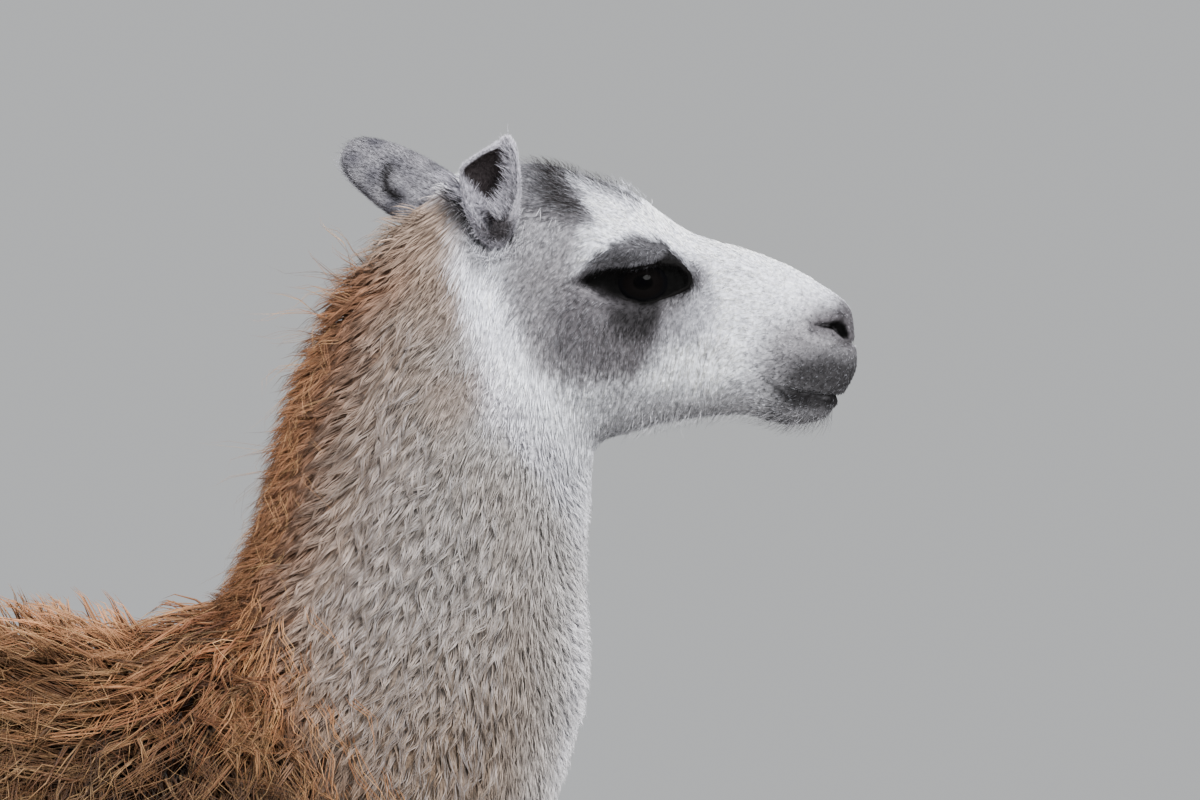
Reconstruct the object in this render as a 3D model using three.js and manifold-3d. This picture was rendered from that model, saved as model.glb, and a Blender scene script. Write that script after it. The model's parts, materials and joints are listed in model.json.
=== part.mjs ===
// A standing llama at life size, as a still model of closed solids. Lengths are in millimetres.
// x runs forward to the nose, y to the animal's left and z up. The floor is z = 0.
// The outer surface is the outline of the coat. The body is shaped whole and then parted with thin cuts.
import * as THREE from "three";
import { mergeVertices } from "three/addons/utils/BufferGeometryUtils.js";
import Module from "manifold-3d";

const wasm = await Module();
wasm.setup();

// ---------------------------------------------------------------- driving dimensions

const GAP = 0.4; // width of every cut between two neighbouring parts
const BODY_SIDES = 26; // facets round each shape
const LEG_SIDES = 12;
const TOE_SIDES = 8;
const NAIL_SIDES = 6;
const EAR_SIDES = 12;
const EYE_SIDES = { round: 12, up: 8 };
const FINE_STATIONS = 14; // stations of the body that get a ring between them, counted from the lips

const EYE = { x: 34, y: 44, z: 1373, radius: 23 };
const LIDS = { long: 25, tall: 11, deep: 16, tilt: 0.1 }; // half sizes of the almond opening
const JAW = { corner: [26, 1327], tilt: 0.27, size: [300, 200, 160] };
const MUZZLE_CUT = { through: [112, 0, 1330], normal: [1, 0, 0.12] };
const HEAD_CUT = { through: [-3, 0, 1244], normal: [206, 0, 125] };
const NECK_CUT = { through: [-296, 0, 1134], normal: [336, 0, 225] };
const SHOULDER_CUT = -430;
const LOIN_CUT = -790;

// Heights of the level cuts of the legs.
const ELBOW_CUT = 640;
const KNEE_CUT = 352;
const STIFLE_CUT = 690;
const HOCK_CUT = 418;
const FETLOCK_CUT = 104;

// Stations of the body from the lips to the buttocks. Each is a slanting cross-section that runs from a point
// of the back line (top) to a point of the belly line (low). half is half its width, widest the height of its
// widest level as a share of the section, square how boxy its upper and lower halves are (2 is an ellipse).
const STATIONS = [
  { at: "lip tip", top: [205, 1335], low: [208, 1311], half: 7, widest: 0.5, square: [2.0, 2.0] },
  { at: "lip front", top: [202, 1347], low: [206, 1302], half: 18, widest: 0.5, square: [2.1, 2.1] },
  { at: "nostrils", top: [195, 1361], low: [198, 1287], half: 28, widest: 0.42, square: [2.1, 2.4] },
  { at: "chin", top: [178, 1374], low: [181, 1267], half: 34, widest: 0.42, square: [2.0, 2.2] },
  { at: "mouth corner", top: [150, 1390], low: [152, 1259], half: 38, widest: 0.5, square: [2.0, 2.0] },
  { at: "bridge", top: [112, 1403.5], low: [118, 1267], half: 43, widest: 0.52, square: [2.0, 2.0] },
  { at: "cheek front", top: [76, 1413.5], low: [84, 1266.5], half: 52, widest: 0.56, square: [2.0, 1.9] },
  { at: "eye front", top: [50, 1430], low: [54, 1262], half: 62, widest: 0.6, square: [1.95, 1.75] },
  { at: "eye", top: [22, 1450], low: [26, 1254], half: 71, widest: 0.6, square: [1.95, 1.7] },
  { at: "forehead", top: [-12, 1459.5], low: [2, 1247], half: 73, widest: 0.58, square: [2.0, 1.7] },
  { at: "crown", top: [-48, 1469], low: [-4, 1226], half: 70, widest: 0.57, square: [2.0, 1.8] },
  { at: "ears", top: [-84, 1466], low: [-5, 1200], half: 69, widest: 0.55, square: [2.0, 1.9] },
  { at: "poll", top: [-124, 1452], low: [-6, 1172], half: 70, widest: 0.52, square: [2.0, 2.0] },
  { at: "nape", top: [-170, 1420], low: [-7, 1142], half: 74, widest: 0.5, square: [1.9, 2.0] },
  { at: "upper neck", top: [-214, 1372], low: [-6, 1108], half: 80, widest: 0.48, square: [1.85, 2.0] },
  { at: "middle neck", top: [-244, 1304], low: [-4, 1072], half: 87, widest: 0.48, square: [1.8, 2.0] },
  { at: "lower neck", top: [-262, 1244], low: [-8, 1034], half: 95, widest: 0.48, square: [1.8, 2.0] },
  { at: "neck root", top: [-276, 1180], low: [-22, 986], half: 108, widest: 0.48, square: [1.8, 2.0] },
  { at: "mane end", top: [-300, 1136], low: [-44, 922], half: 130, widest: 0.48, square: [1.8, 2.1] },
  { at: "withers", top: [-360, 1104], low: [-62, 840], half: 160, widest: 0.47, square: [1.8, 2.2] },
  { at: "breast", top: [-430, 1104], low: [-92, 730], half: 192, widest: 0.46, square: [1.9, 2.2] },
  { at: "girth", top: [-510, 1110], low: [-205, 600], half: 215, widest: 0.48, square: [2.0, 2.2] },
  { at: "ribs", top: [-610, 1113], low: [-430, 545], half: 238, widest: 0.5, square: [2.1, 2.2] },
  { at: "belly", top: [-735, 1110], low: [-650, 560], half: 243, widest: 0.5, square: [2.1, 2.2] },
  { at: "loin", top: [-850, 1099], low: [-800, 610], half: 230, widest: 0.5, square: [2.1, 2.2] },
  { at: "croup", top: [-950, 1076], low: [-920, 650], half: 212, widest: 0.5, square: [2.1, 2.3] },
  { at: "rump", top: [-1035, 1030], low: [-1020, 680], half: 176, widest: 0.5, square: [2.1, 2.3] },
  { at: "breech", top: [-1082, 968], low: [-1072, 720], half: 126, widest: 0.52, square: [2.0, 2.2] },
  { at: "buttocks", top: [-1100, 900], low: [-1096, 790], half: 62, widest: 0.5, square: [2.0, 2.0] },
];

// Rounded swellings (rise > 0) and hollows of the side of the body, in the side view.
const SWELLINGS = [
  { at: "brow", x: 32, z: 1398, long: 34, tall: 15, rise: 6 },
  { at: "eye socket", x: 36, z: 1373, long: 30, tall: 14, rise: -3 },
  { at: "cheekbone", x: 52, z: 1336, long: 46, tall: 16, rise: 4 },
  { at: "jaw muscle", x: -18, z: 1312, long: 40, tall: 44, rise: 6 },
  { at: "upper lip", x: 172, z: 1312, long: 24, tall: 20, rise: 4 },
  { at: "muzzle side", x: 118, z: 1330, long: 32, tall: 24, rise: -4 },
  { at: "shoulder", x: -260, z: 800, long: 120, tall: 120, rise: 16 },
  { at: "flank", x: -800, z: 720, long: 60, tall: 90, rise: -16 },
  { at: "thigh", x: -940, z: 790, long: 100, tall: 130, rise: 14 },
];

// Stations of the right legs, from inside the body down to the foot: height, middle (x), distance from the
// middle plane (y), half length and half width.
const FORE_LEG = [
  { at: "shoulder", z: 790, x: -228, y: 112, long: 80, wide: 52 },
  { at: "elbow", z: 650, x: -232, y: 116, long: 82, wide: 56 },
  { at: "upper forearm", z: 560, x: -220, y: 116, long: 60, wide: 47 },
  { at: "forearm", z: 460, x: -208, y: 113, long: 42, wide: 37 },
  { at: "above knee", z: 395, x: -203, y: 110, long: 35, wide: 33 },
  { at: "knee", z: 350, x: -200, y: 108, long: 36, wide: 34 },
  { at: "below knee", z: 300, x: -203, y: 107, long: 29, wide: 28 },
  { at: "cannon", z: 215, x: -206, y: 106, long: 25, wide: 25 },
  { at: "above fetlock", z: 140, x: -206, y: 105, long: 27, wide: 27 },
  { at: "fetlock", z: 100, x: -201, y: 104, long: 32, wide: 33 },
  { at: "pastern", z: 66, x: -188, y: 104, long: 31, wide: 35 },
  { at: "sole", z: 30, x: -178, y: 104, long: 30, wide: 34 },
];
const HIND_LEG = [
  { at: "hip", z: 860, x: -935, y: 104, long: 112, wide: 84 },
  { at: "thigh", z: 760, x: -938, y: 122, long: 134, wide: 98 },
  { at: "stifle", z: 655, x: -918, y: 126, long: 120, wide: 82 },
  { at: "gaskin", z: 550, x: -940, y: 122, long: 78, wide: 57 },
  { at: "low gaskin", z: 475, x: -978, y: 117, long: 51, wide: 41 },
  { at: "hock", z: 415, x: -1004, y: 114, long: 43, wide: 36 },
  { at: "below hock", z: 350, x: -1000, y: 112, long: 32, wide: 31 },
  { at: "cannon", z: 240, x: -990, y: 110, long: 27, wide: 26 },
  { at: "above fetlock", z: 150, x: -985, y: 109, long: 28, wide: 28 },
  { at: "fetlock", z: 105, x: -980, y: 108, long: 32, wide: 33 },
  { at: "pastern", z: 68, x: -967, y: 108, long: 31, wide: 35 },
  { at: "sole", z: 30, x: -956, y: 108, long: 30, wide: 34 },
];

// Feet: two long toe pads, each with a nail. The stations run from the heel to the tip, as shares of the size.
const FORE_FOOT = { x: -160, y: 104 }; // middle of each foot on the floor
const HIND_FOOT = { x: -938, y: 108 };
const TOE = { long: 106, wide: 39, high: 50, spread: 21.5, splay: 0.06, sunk: 8 };
const TOE_STATIONS = [
  { at: "heel", ahead: -0.5, size: 0.3, high: 0.5 },
  { at: "heel swell", ahead: -0.42, size: 0.72, high: 0.86 },
  { at: "pad", ahead: -0.18, size: 1, high: 1 },
  { at: "ball", ahead: 0.12, size: 0.98, high: 0.84 },
  { at: "toe", ahead: 0.33, size: 0.8, high: 0.56 },
  { at: "tip", ahead: 0.46, size: 0.5, high: 0.34 },
];
const NAIL = { long: 30, wide: 25, high: 24, front: 57 }; // front is ahead of the middle of the toe
const NAIL_STATIONS = [
  { at: "root", ahead: 0, size: 0.7, top: 1.25, low: 0.65 },
  { at: "shoulder", ahead: 0.3, size: 1, top: 1.0, low: 0.3 },
  { at: "blade", ahead: 0.7, size: 0.72, top: 0.66, low: 0.2 },
  { at: "point", ahead: 1, size: 0.26, top: 0.4, low: 0.2 },
];

// Ears: leaves with a hollow. root is where one leaves the head, tip the way it points and open the way its
// hollow looks. The stations run up the ear: height as a share of its length, reach to its two edges
// (ahead and behind) and half thickness. The left ear is laid back, with its hollow turned away.
const EAR_WALL = 5;
const EARS = {
  right: {
    root: [-84, -46, 1402],
    tip: [0.085, -0.58, 0.81],
    open: [-0.3, -0.79, -0.53],
    length: 104,
    hollow: [0.1, 0.9],
    stations: [
      { at: "root", up: 0, ahead: 14, behind: 15, deep: 15 },
      { at: "cup", up: 0.22, ahead: 16, behind: 21, deep: 17 },
      { at: "middle", up: 0.45, ahead: 17, behind: 30, deep: 16 },
      { at: "rear corner", up: 0.63, ahead: 16, behind: 33, deep: 13 },
      { at: "upper edge", up: 0.8, ahead: 13, behind: 19, deep: 9 },
      { at: "point", up: 0.94, ahead: 9, behind: 5, deep: 6 },
      { at: "tip", up: 1, ahead: 5, behind: 1, deep: 3 },
    ],
  },
  left: {
    root: [-84, 40, 1408],
    tip: [-0.82, 0.2, 0.52],
    open: [-0.2, 0.9, -0.3],
    length: 146,
    hollow: [0.3, 0.9],
    stations: [
      { at: "root", up: 0, ahead: 17, behind: 17, deep: 15 },
      { at: "cup", up: 0.22, ahead: 25, behind: 25, deep: 17 },
      { at: "middle", up: 0.48, ahead: 29, behind: 29, deep: 16 },
      { at: "upper middle", up: 0.7, ahead: 27, behind: 27, deep: 13 },
      { at: "shoulder", up: 0.87, ahead: 21, behind: 21, deep: 9 },
      { at: "blunt end", up: 0.96, ahead: 14, behind: 14, deep: 6 },
      { at: "tip", up: 1, ahead: 8, behind: 8, deep: 3 },
    ],
  },
};

// Stations of the tail: middle of each ring, and its half depth and half width.
const TAIL_STEPS = 2;
const TAIL = [
  { at: "root", x: -1040, z: 985, long: 40, wide: 44 },
  { at: "bend", x: -1098, z: 972, long: 44, wide: 46 },
  { at: "hang", x: -1130, z: 905, long: 42, wide: 46 },
  { at: "brush", x: -1136, z: 830, long: 38, wide: 42 },
  { at: "tip", x: -1130, z: 762, long: 14, wide: 18 },
];

const COATS = {
  face: { color: 0xdcdce2, roughness: 0.95 },
  neck: { color: 0x9a9088, roughness: 0.97 },
  wool: { color: 0x8f6a50, roughness: 0.98 },
  leg: { color: 0xb09a86, roughness: 0.95 },
  eye: { color: 0x0b0a0a, roughness: 0.12 },
  nail: { color: 0x2c2724, roughness: 0.45 },
};

// ---------------------------------------------------------------- curves and solids

const vec = (x, y, z) => new THREE.Vector3(x, y, z);

// A smooth curve through the points, sampled steps times between each two.
function along(points, steps) {
  const curve = new THREE.CatmullRomCurve3(points, false, "centripetal");
  const count = (points.length - 1) * steps;
  return Array.from({ length: count + 1 }, (_, i) => curve.getPoint(i / count));
}

// A closed line of points: place is given the sine and cosine of each turn.
function ring(sides, place) {
  return Array.from({ length: sides }, (_, i) => {
    const turn = (i / sides) * 2 * Math.PI;
    return place(Math.cos(turn), Math.sin(turn));
  });
}

// A closed surface through rings of the same number of points, with a fan over each end.
function loft(rings) {
  const sides = rings[0].length;
  const middle = (points) => points.reduce((sum, p) => sum.add(p), vec(0, 0, 0)).divideScalar(sides);
  const points = [...rings.flat(), middle(rings[0]), middle(rings.at(-1))];
  const first = points.length - 2;
  const last = points.length - 1;
  const end = (rings.length - 1) * sides;
  const index = [];
  for (let j = 0; j < sides; j++) {
    const k = (j + 1) % sides;
    index.push(first, k, j, last, end + j, end + k);
    for (let i = 0; i < end; i += sides) {
      index.push(i + j, i + k, i + sides + k, i + j, i + sides + k, i + sides + j);
    }
  }
  return new THREE.BufferGeometry().setFromPoints(points).setIndex(index);
}

// A geometry as a boolean solid, turned the right way out.
function solid(geometry) {
  const bare = geometry.clone();
  bare.deleteAttribute("normal");
  bare.deleteAttribute("uv");
  const merged = mergeVertices(bare, 1e-3);
  const vertProperties = new Float32Array(merged.attributes.position.array);
  const triVerts = new Uint32Array(merged.index.array);
  const made = new wasm.Manifold(new wasm.Mesh({ numProp: 3, vertProperties, triVerts }));
  if (made.volume() > 0) return made;
  for (let i = 0; i < triVerts.length; i += 3) {
    [triVerts[i + 1], triVerts[i + 2]] = [triVerts[i + 2], triVerts[i + 1]];
  }
  return new wasm.Manifold(new wasm.Mesh({ numProp: 3, vertProperties, triVerts }));
}

// The two sides of a plane through point, with a gap between: the side the normal points to comes first.
function part(whole, point, normal) {
  const n = vec(...normal).normalize();
  const offset = n.dot(vec(...point));
  const ahead = whole.trimByPlane(n.toArray(), offset + GAP / 2);
  const behind = whole.trimByPlane(n.clone().negate().toArray(), GAP / 2 - offset);
  return [ahead, behind];
}

const asModelled = (shape) => shape;
const mirrored = (shape) => shape.mirror([0, 1, 0]);

// ---------------------------------------------------------------- head, neck and trunk

// How far the side of the body stands out at a point of the side view.
function swell(x, z) {
  return SWELLINGS.reduce((sum, s) => {
    const far = ((x - s.x) / s.long) ** 2 + ((z - s.z) / s.tall) ** 2;
    return sum + s.rise * Math.exp(-far);
  }, 0);
}

// The cross-sections of the body, each an egg shape with its own width, widest level and boxiness.
function bodyRings() {
  const smooth = (place) => along(STATIONS.map(place), 2).filter((_, i) => i <= 2 * FINE_STATIONS || i % 2 === 0);
  const tops = smooth((s) => vec(s.top[0], 0, s.top[1]));
  const lows = smooth((s) => vec(s.low[0], 0, s.low[1]));
  const breadths = smooth((s) => vec(s.half, s.widest * 100, 0));
  const squares = smooth((s) => vec(s.square[0] * 50, s.square[1] * 50, 0));
  return tops.map((top, i) => {
    const height = top.clone().sub(lows[i]);
    const widest = breadths[i].y / 100;
    return ring(BODY_SIDES, (cos, sin) => {
      const upper = cos >= 0;
      const power = 100 / (upper ? squares[i].x : squares[i].y);
      const up = Math.abs(cos) ** power;
      const out = Math.abs(sin) ** power;
      const share = widest + (upper ? (1 - widest) * up : -widest * up);
      const p = lows[i].clone().addScaledVector(height, share);
      p.y = Math.sign(sin) * out * Math.max(breadths[i].x + swell(p.x, p.z), 0);
      return p;
    });
  });
}

// ---------------------------------------------------------------- legs and feet

// A right leg from inside the body to the pastern, made larger round by grow.
function leg(stations, grow = 0) {
  const rings = stations.map((s) =>
    ring(LEG_SIDES, (cos, sin) => vec(s.x + (s.long + grow) * cos, (s.wide + grow) * sin - s.y, s.z)),
  );
  return solid(loft(rings));
}

// Sets a piece of a toe in its place in the foot: side is -1 for the outer toe and 1 for the inner one.
function inFoot(shape, foot, side) {
  return solid(shape.rotateZ(side * TOE.splay).translate(foot.x, -foot.y + side * TOE.spread, 0));
}

// One toe pad: long, rounded above and flat below, with its sole on the floor.
function toe(foot, side) {
  const rings = TOE_STATIONS.map((s) => {
    const half = (s.high * TOE.high) / 2;
    return ring(TOE_SIDES, (cos, sin) =>
      vec(s.ahead * TOE.long, (s.size * TOE.wide * sin) / 2, half - TOE.sunk + (half + TOE.sunk) * cos),
    );
  });
  return inFoot(loft(rings), foot, side).trimByPlane([0, 0, 1], 0);
}

// A nail over the tip of a toe: a wedge rounded above, narrowing forward. grow makes it larger all round.
function nail(foot, side, grow) {
  const rings = NAIL_STATIONS.map((s, i) => {
    const ends = (i === 0 ? -grow : 0) + (i === NAIL_STATIONS.length - 1 ? grow : 0);
    const x = NAIL.front - NAIL.long * (1 - s.ahead) + ends;
    const middle = ((s.top + s.low) / 2) * NAIL.high;
    const half = ((s.top - s.low) / 2) * NAIL.high + grow;
    return ring(NAIL_SIDES, (cos, sin) => vec(x, ((s.size * NAIL.wide) / 2 + grow) * sin, middle + half * cos));
  });
  return inFoot(loft(rings), foot, side);
}

// ---------------------------------------------------------------- ears and tail

// The leaf of an ear in its place. Its own z runs to the tip, x the way the hollow looks, y to its front edge.
function earLeaf(ear, { grow = 0, forward = 0, from = 0, to = 1 }) {
  const z = vec(...ear.tip).normalize();
  const y = z.clone().cross(vec(...ear.open)).normalize();
  const x = y.clone().cross(z);
  const place = new THREE.Matrix4().makeBasis(x, y, z).setPosition(...ear.root);
  const rings = ear.stations.map((s) => {
    const half = (s.ahead + s.behind) / 2 + grow;
    const height = ear.length * (from + (to - from) * s.up);
    return ring(EAR_SIDES, (cos, sin) =>
      vec(forward + Math.max(s.deep + grow, 1) * cos, (s.ahead - s.behind) / 2 + Math.max(half, 1) * sin, height),
    );
  });
  return solid(loft(rings).applyMatrix4(place));
}

// The leaf less a smaller leaf set forward, which leaves a thin wall round the hollow.
function ear(e) {
  const [from, to] = e.hollow;
  const hollow = earLeaf(e, { grow: -EAR_WALL, forward: 2 * EAR_WALL, from, to });
  return earLeaf(e, {}).subtract(hollow);
}

function tail(grow) {
  const middles = along(TAIL.map((s) => vec(s.x, 0, s.z)), TAIL_STEPS);
  const halves = along(TAIL.map((s) => vec(s.long + grow, s.wide + grow, 0)), TAIL_STEPS);
  middles[0].x += grow;
  const across = vec(0, 1, 0);
  const rings = middles.map((m, i) => {
    const ahead = middles[Math.min(i + 1, middles.length - 1)];
    const behind = middles[Math.max(i - 1, 0)];
    const up = ahead.clone().sub(behind).normalize().cross(across);
    return ring(LEG_SIDES, (cos, sin) =>
      m.clone().addScaledVector(up, halves[i].x * cos).addScaledVector(across, halves[i].y * sin),
    );
  });
  return solid(loft(rings));
}

// ---------------------------------------------------------------- eyes and jaw

function eyeball(grow) {
  const ball = new THREE.SphereGeometry(EYE.radius + grow, EYE_SIDES.round, EYE_SIDES.up);
  return solid(ball.rotateX(Math.PI / 2).translate(EYE.x, -EYE.y, EYE.z));
}

// The almond between the lids, cut outwards from the eye.
function lidOpening() {
  const almond = new THREE.SphereGeometry(1, EYE_SIDES.round, EYE_SIDES.up).scale(LIDS.long, LIDS.deep, LIDS.tall);
  return solid(almond.rotateY(LIDS.tilt).translate(EYE.x, -EYE.y - EYE.radius, EYE.z));
}

// What lies below the line of the mouth and ahead of the angle of the jaw.
function jawBlock(grow) {
  const { corner, tilt, size } = JAW;
  const shape = new THREE.BoxGeometry(...size).translate(size[0] / 2 - grow, 0, grow - size[2] / 2);
  return solid(shape.rotateY(tilt).translate(corner[0], 0, corner[1]));
}

// ---------------------------------------------------------------- parting the whole into named parts

const llama = new THREE.Group();

function add(name, shape, coat) {
  const { vertProperties, triVerts } = shape.getMesh();
  const geometry = new THREE.BufferGeometry();
  geometry.setAttribute("position", new THREE.BufferAttribute(vertProperties, 3));
  geometry.setIndex(new THREE.BufferAttribute(triVerts, 1));
  const mesh = new THREE.Mesh(geometry, new THREE.MeshStandardMaterial({ ...COATS[coat], metalness: 0 }));
  mesh.name = name;
  llama.add(mesh);
}

const spine = solid(loft(bodyRings()));
let whole = spine;

// Legs: each is parted from the body at its own outline, below the elbow or stifle.
for (const { name, upperName, stations, foot, cuts } of [
  { name: "fore", upperName: "forearm", stations: FORE_LEG, foot: FORE_FOOT, cuts: [ELBOW_CUT, KNEE_CUT] },
  { name: "hind", upperName: "thigh", stations: HIND_LEG, foot: HIND_FOOT, cuts: [STIFLE_CUT, HOCK_CUT] },
]) {
  const [root, free] = part(leg(stations), [0, 0, cuts[0]], [0, 0, 1]);
  const [upper, lower] = part(free, [0, 0, cuts[1]], [0, 0, 1]);
  const [cannon, pastern] = part(lower, [0, 0, FETLOCK_CUT], [0, 0, 1]);
  const room = leg(stations, 2 * GAP).trimByPlane([0, 0, -1], -cuts[0] - GAP / 2);
  const toes = [-1, 1].map((side) => toe(foot, side));
  const nailHoles = [-1, 1].map((side) => nail(foot, side, GAP));
  const sole = toes.reduce((made, shape) => made.add(shape), pastern);
  const footShape = nailHoles.reduce((made, shape) => made.subtract(shape), sole);
  const nails = { outer: nail(foot, -1, 0), inner: nail(foot, 1, 0) };
  for (const [hand, turn] of [["right", asModelled], ["left", mirrored]]) {
    whole = whole.subtract(turn(room)).add(turn(root));
    add(`${name}_${upperName}_${hand}`, turn(upper), "leg");
    add(`${name}_cannon_${hand}`, turn(cannon), "leg");
    add(`${name}_foot_${hand}`, turn(footShape), "leg");
    for (const place of ["outer", "inner"]) add(`nail_${name}_${hand}_${place}`, turn(nails[place]), "nail");
  }
}

// Head, neck and trunk: slanting cuts across the body, with room for the roots of the ears.
for (const e of Object.values(EARS)) whole = whole.subtract(earLeaf(e, { grow: 2 * GAP, from: -0.01, to: 1.01 }));
const [headWhole, neckAndTrunk] = part(whole, HEAD_CUT.through, HEAD_CUT.normal);
const [neck, trunk] = part(neckAndTrunk, NECK_CUT.through, NECK_CUT.normal);
const [forequarters, behind] = part(trunk, [SHOULDER_CUT, 0, 0], [1, 0, 0]);
const [barrel, hindquarters] = part(behind, [LOIN_CUT, 0, 0], [1, 0, 0]);

let head = headWhole;
for (const turn of [asModelled, mirrored]) head = head.subtract(turn(eyeball(GAP))).subtract(turn(lidOpening()));
const lowerJaw = head.intersect(jawBlock(0));
const [muzzle, skull] = part(head.subtract(jawBlock(GAP)), MUZZLE_CUT.through, MUZZLE_CUT.normal);

add("head", skull, "face");
add("muzzle", muzzle, "face");
add("lower_jaw", lowerJaw, "face");
for (const hand of ["right", "left"]) add(`ear_${hand}`, ear(EARS[hand]), "face");
add("eye_right", eyeball(0), "eye");
add("eye_left", mirrored(eyeball(0)), "eye");
add("neck", neck, "neck");
add("forequarters", forequarters, "wool");
add("barrel", barrel, "wool");
add("hindquarters", hindquarters.subtract(tail(2 * GAP)), "wool");
add("tail", tail(0), "wool");

// The origin lies on the floor below the middle of the whole.
const box = new THREE.Box3().setFromObject(llama);
llama.position.x = -box.getCenter(vec(0, 0, 0)).x;

export default llama;
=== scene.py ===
import json
import math

import bmesh
import bpy
import numpy as np
from mathutils import Matrix, Vector
from mathutils.bvhtree import BVHTree

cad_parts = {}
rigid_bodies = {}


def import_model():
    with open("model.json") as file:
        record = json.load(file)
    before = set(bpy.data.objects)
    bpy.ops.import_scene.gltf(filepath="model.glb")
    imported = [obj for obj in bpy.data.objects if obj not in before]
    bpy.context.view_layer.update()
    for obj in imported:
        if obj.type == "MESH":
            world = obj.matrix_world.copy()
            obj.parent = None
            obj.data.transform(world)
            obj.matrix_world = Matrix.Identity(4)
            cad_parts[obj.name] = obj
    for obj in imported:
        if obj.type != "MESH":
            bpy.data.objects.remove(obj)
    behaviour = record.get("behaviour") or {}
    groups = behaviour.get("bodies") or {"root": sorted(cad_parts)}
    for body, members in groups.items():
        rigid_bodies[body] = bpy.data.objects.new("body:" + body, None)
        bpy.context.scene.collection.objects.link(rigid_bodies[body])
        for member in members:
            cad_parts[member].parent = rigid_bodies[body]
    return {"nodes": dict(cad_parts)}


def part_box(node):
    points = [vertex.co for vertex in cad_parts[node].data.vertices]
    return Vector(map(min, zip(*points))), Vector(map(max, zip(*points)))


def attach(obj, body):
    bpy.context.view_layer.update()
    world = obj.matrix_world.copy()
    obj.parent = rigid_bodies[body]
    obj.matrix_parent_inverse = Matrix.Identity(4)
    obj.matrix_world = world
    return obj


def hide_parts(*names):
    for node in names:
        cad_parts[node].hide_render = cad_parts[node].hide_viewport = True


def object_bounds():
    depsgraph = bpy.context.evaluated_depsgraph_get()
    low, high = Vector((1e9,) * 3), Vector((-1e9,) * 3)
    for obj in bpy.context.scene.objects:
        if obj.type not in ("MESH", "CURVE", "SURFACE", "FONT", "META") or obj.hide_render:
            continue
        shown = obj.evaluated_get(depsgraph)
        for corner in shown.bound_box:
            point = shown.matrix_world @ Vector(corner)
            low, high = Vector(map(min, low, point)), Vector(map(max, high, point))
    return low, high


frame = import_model()
cad_low, cad_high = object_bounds()

# ---------------------------------------------------------------- sizes and places

MM = 0.001
eye_low, eye_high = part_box("eye_right")
EYE = (np.array(eye_low) + np.array(eye_high)) / 2
EYE_RADIUS = (eye_high[2] - eye_low[2]) / 2
EYE_LEVEL = np.array([EYE[0], 0.0, EYE[2]])  # the place between the eyes, on the middle plane
FLOOR_UP = -EYE[2] / MM  # the floor's height in millimetres above the eye

LEGS = [f"{end}_{part}_{side}" for end, parts in (
    ("fore", ("forearm", "cannon", "foot")),
    ("hind", ("thigh", "cannon", "foot")),
) for part in parts for side in ("right", "left")]
FLESH = ["head", "muzzle", "lower_jaw", "neck", "forequarters", "barrel", "hindquarters", "tail", *LEGS]
NAILS = [n for n in frame["nodes"] if n.startswith("nail_")]

# Lines in the side view, in millimetres ahead of the eye and above it.
CREST = [
    (-211, 43), (-235, 23), (-250, -1), (-266, -28), (-272, -56), (-282, -82), (-290, -108), (-298, -136),
    (-308, -175), (-312, -206), (-330, -240),
]
WHITE_LINE = [
    (-143, 50), (-143, -4), (-134, -58), (-128, -94), (-102, -129), (-75, -156), (-60, -183), (-54, -221),
    (-58, -269), (-62, -333), (-78, -413), (-100, -520), (-120, -620),
]
BROWN_LINE = [
    (-330, -180), (-302, -221), (-282, -285), (-250, -349), (-218, -413), (-190, -480), (-155, -560),
    (-130, -640), (-120, -720),
]


def places(points):
    """Millimetres ahead of the eye, out from the middle plane, and above the eye."""
    return (points[:, 0] - EYE[0]) / MM, np.abs(points[:, 1]) / MM, (points[:, 2] - EYE[2]) / MM


def smooth_step(value, low, high):
    share = np.clip((value - low) / (high - low), 0.0, 1.0)
    return share * share * (3.0 - 2.0 * share)


def falling_off(far, reach):
    """1 at no distance from a line or a place, and less the farther from it."""
    return np.exp(-((far / reach) ** 2))


def line_at(line, up):
    """How far ahead a line of the side view runs at each height."""
    ahead, heights = np.array(line, float).T
    order = np.argsort(heights)
    return np.interp(up, heights[order], ahead[order])


def unit(vectors):
    return vectors / np.maximum(np.linalg.norm(vectors, axis=-1, keepdims=True), 1e-9)


def mixed(one, other, share):
    share = np.asarray(share)[..., None]
    return one * (1.0 - share) + other * share


def towards(points, x, y, z):
    """A direction for each point, given as ahead, out from the middle plane, and up."""
    sign = np.where(points[:, 1] < 0, -1.0, 1.0)
    return np.stack([np.full(len(points), x), y * sign, np.full(len(points), z)], axis=1)


def along_skin(way, normals):
    """What is left of a direction along the skin."""
    return unit(way - normals * np.sum(way * normals, axis=1, keepdims=True))


def of_head(ahead, up):
    """Distance ahead of the slanting line that parts the head from the neck, in millimetres."""
    return ((ahead + 37) * 206 + (up + 129) * 125) / 241


def of_neck(ahead, up):
    """Distance ahead of the slanting line that parts the neck from the trunk, in millimetres."""
    return ((ahead + 330) * 336 + (up + 239) * 225) / 404


FORE_AXIS = (-262, 118, 88, 58)  # a leg's place at the elbow: ahead, out, half length and half width
HIND_AXIS = (-962, 124, 122, 84)


def of_legs(ahead, out, up):
    """1 on the legs and 0 on the trunk."""
    near = np.zeros_like(ahead)
    for x, y, long, wide in (FORE_AXIS, HIND_AXIS):
        far = np.hypot((ahead - x) / long, (out - y) / wide)
        near = np.maximum(near, 1.0 - smooth_step(far, 0.9, 1.35))
    low = 1.0 - smooth_step(up, -850, -650)
    return np.maximum(near * low, 1.0 - smooth_step(up, -900, -850))


# ---------------------------------------------------------------- meshes and arrays


def array_of(items, name, width=3, kind=np.float32):
    found = np.empty(len(items) * width, kind)
    items.foreach_get(name, found)
    return found.reshape(-1, width) if width > 1 else found


def points_of(mesh):
    return array_of(mesh.vertices, "co").astype(float)


def normals_of(mesh):
    return array_of(mesh.vertex_normals, "vector").astype(float)


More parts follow.
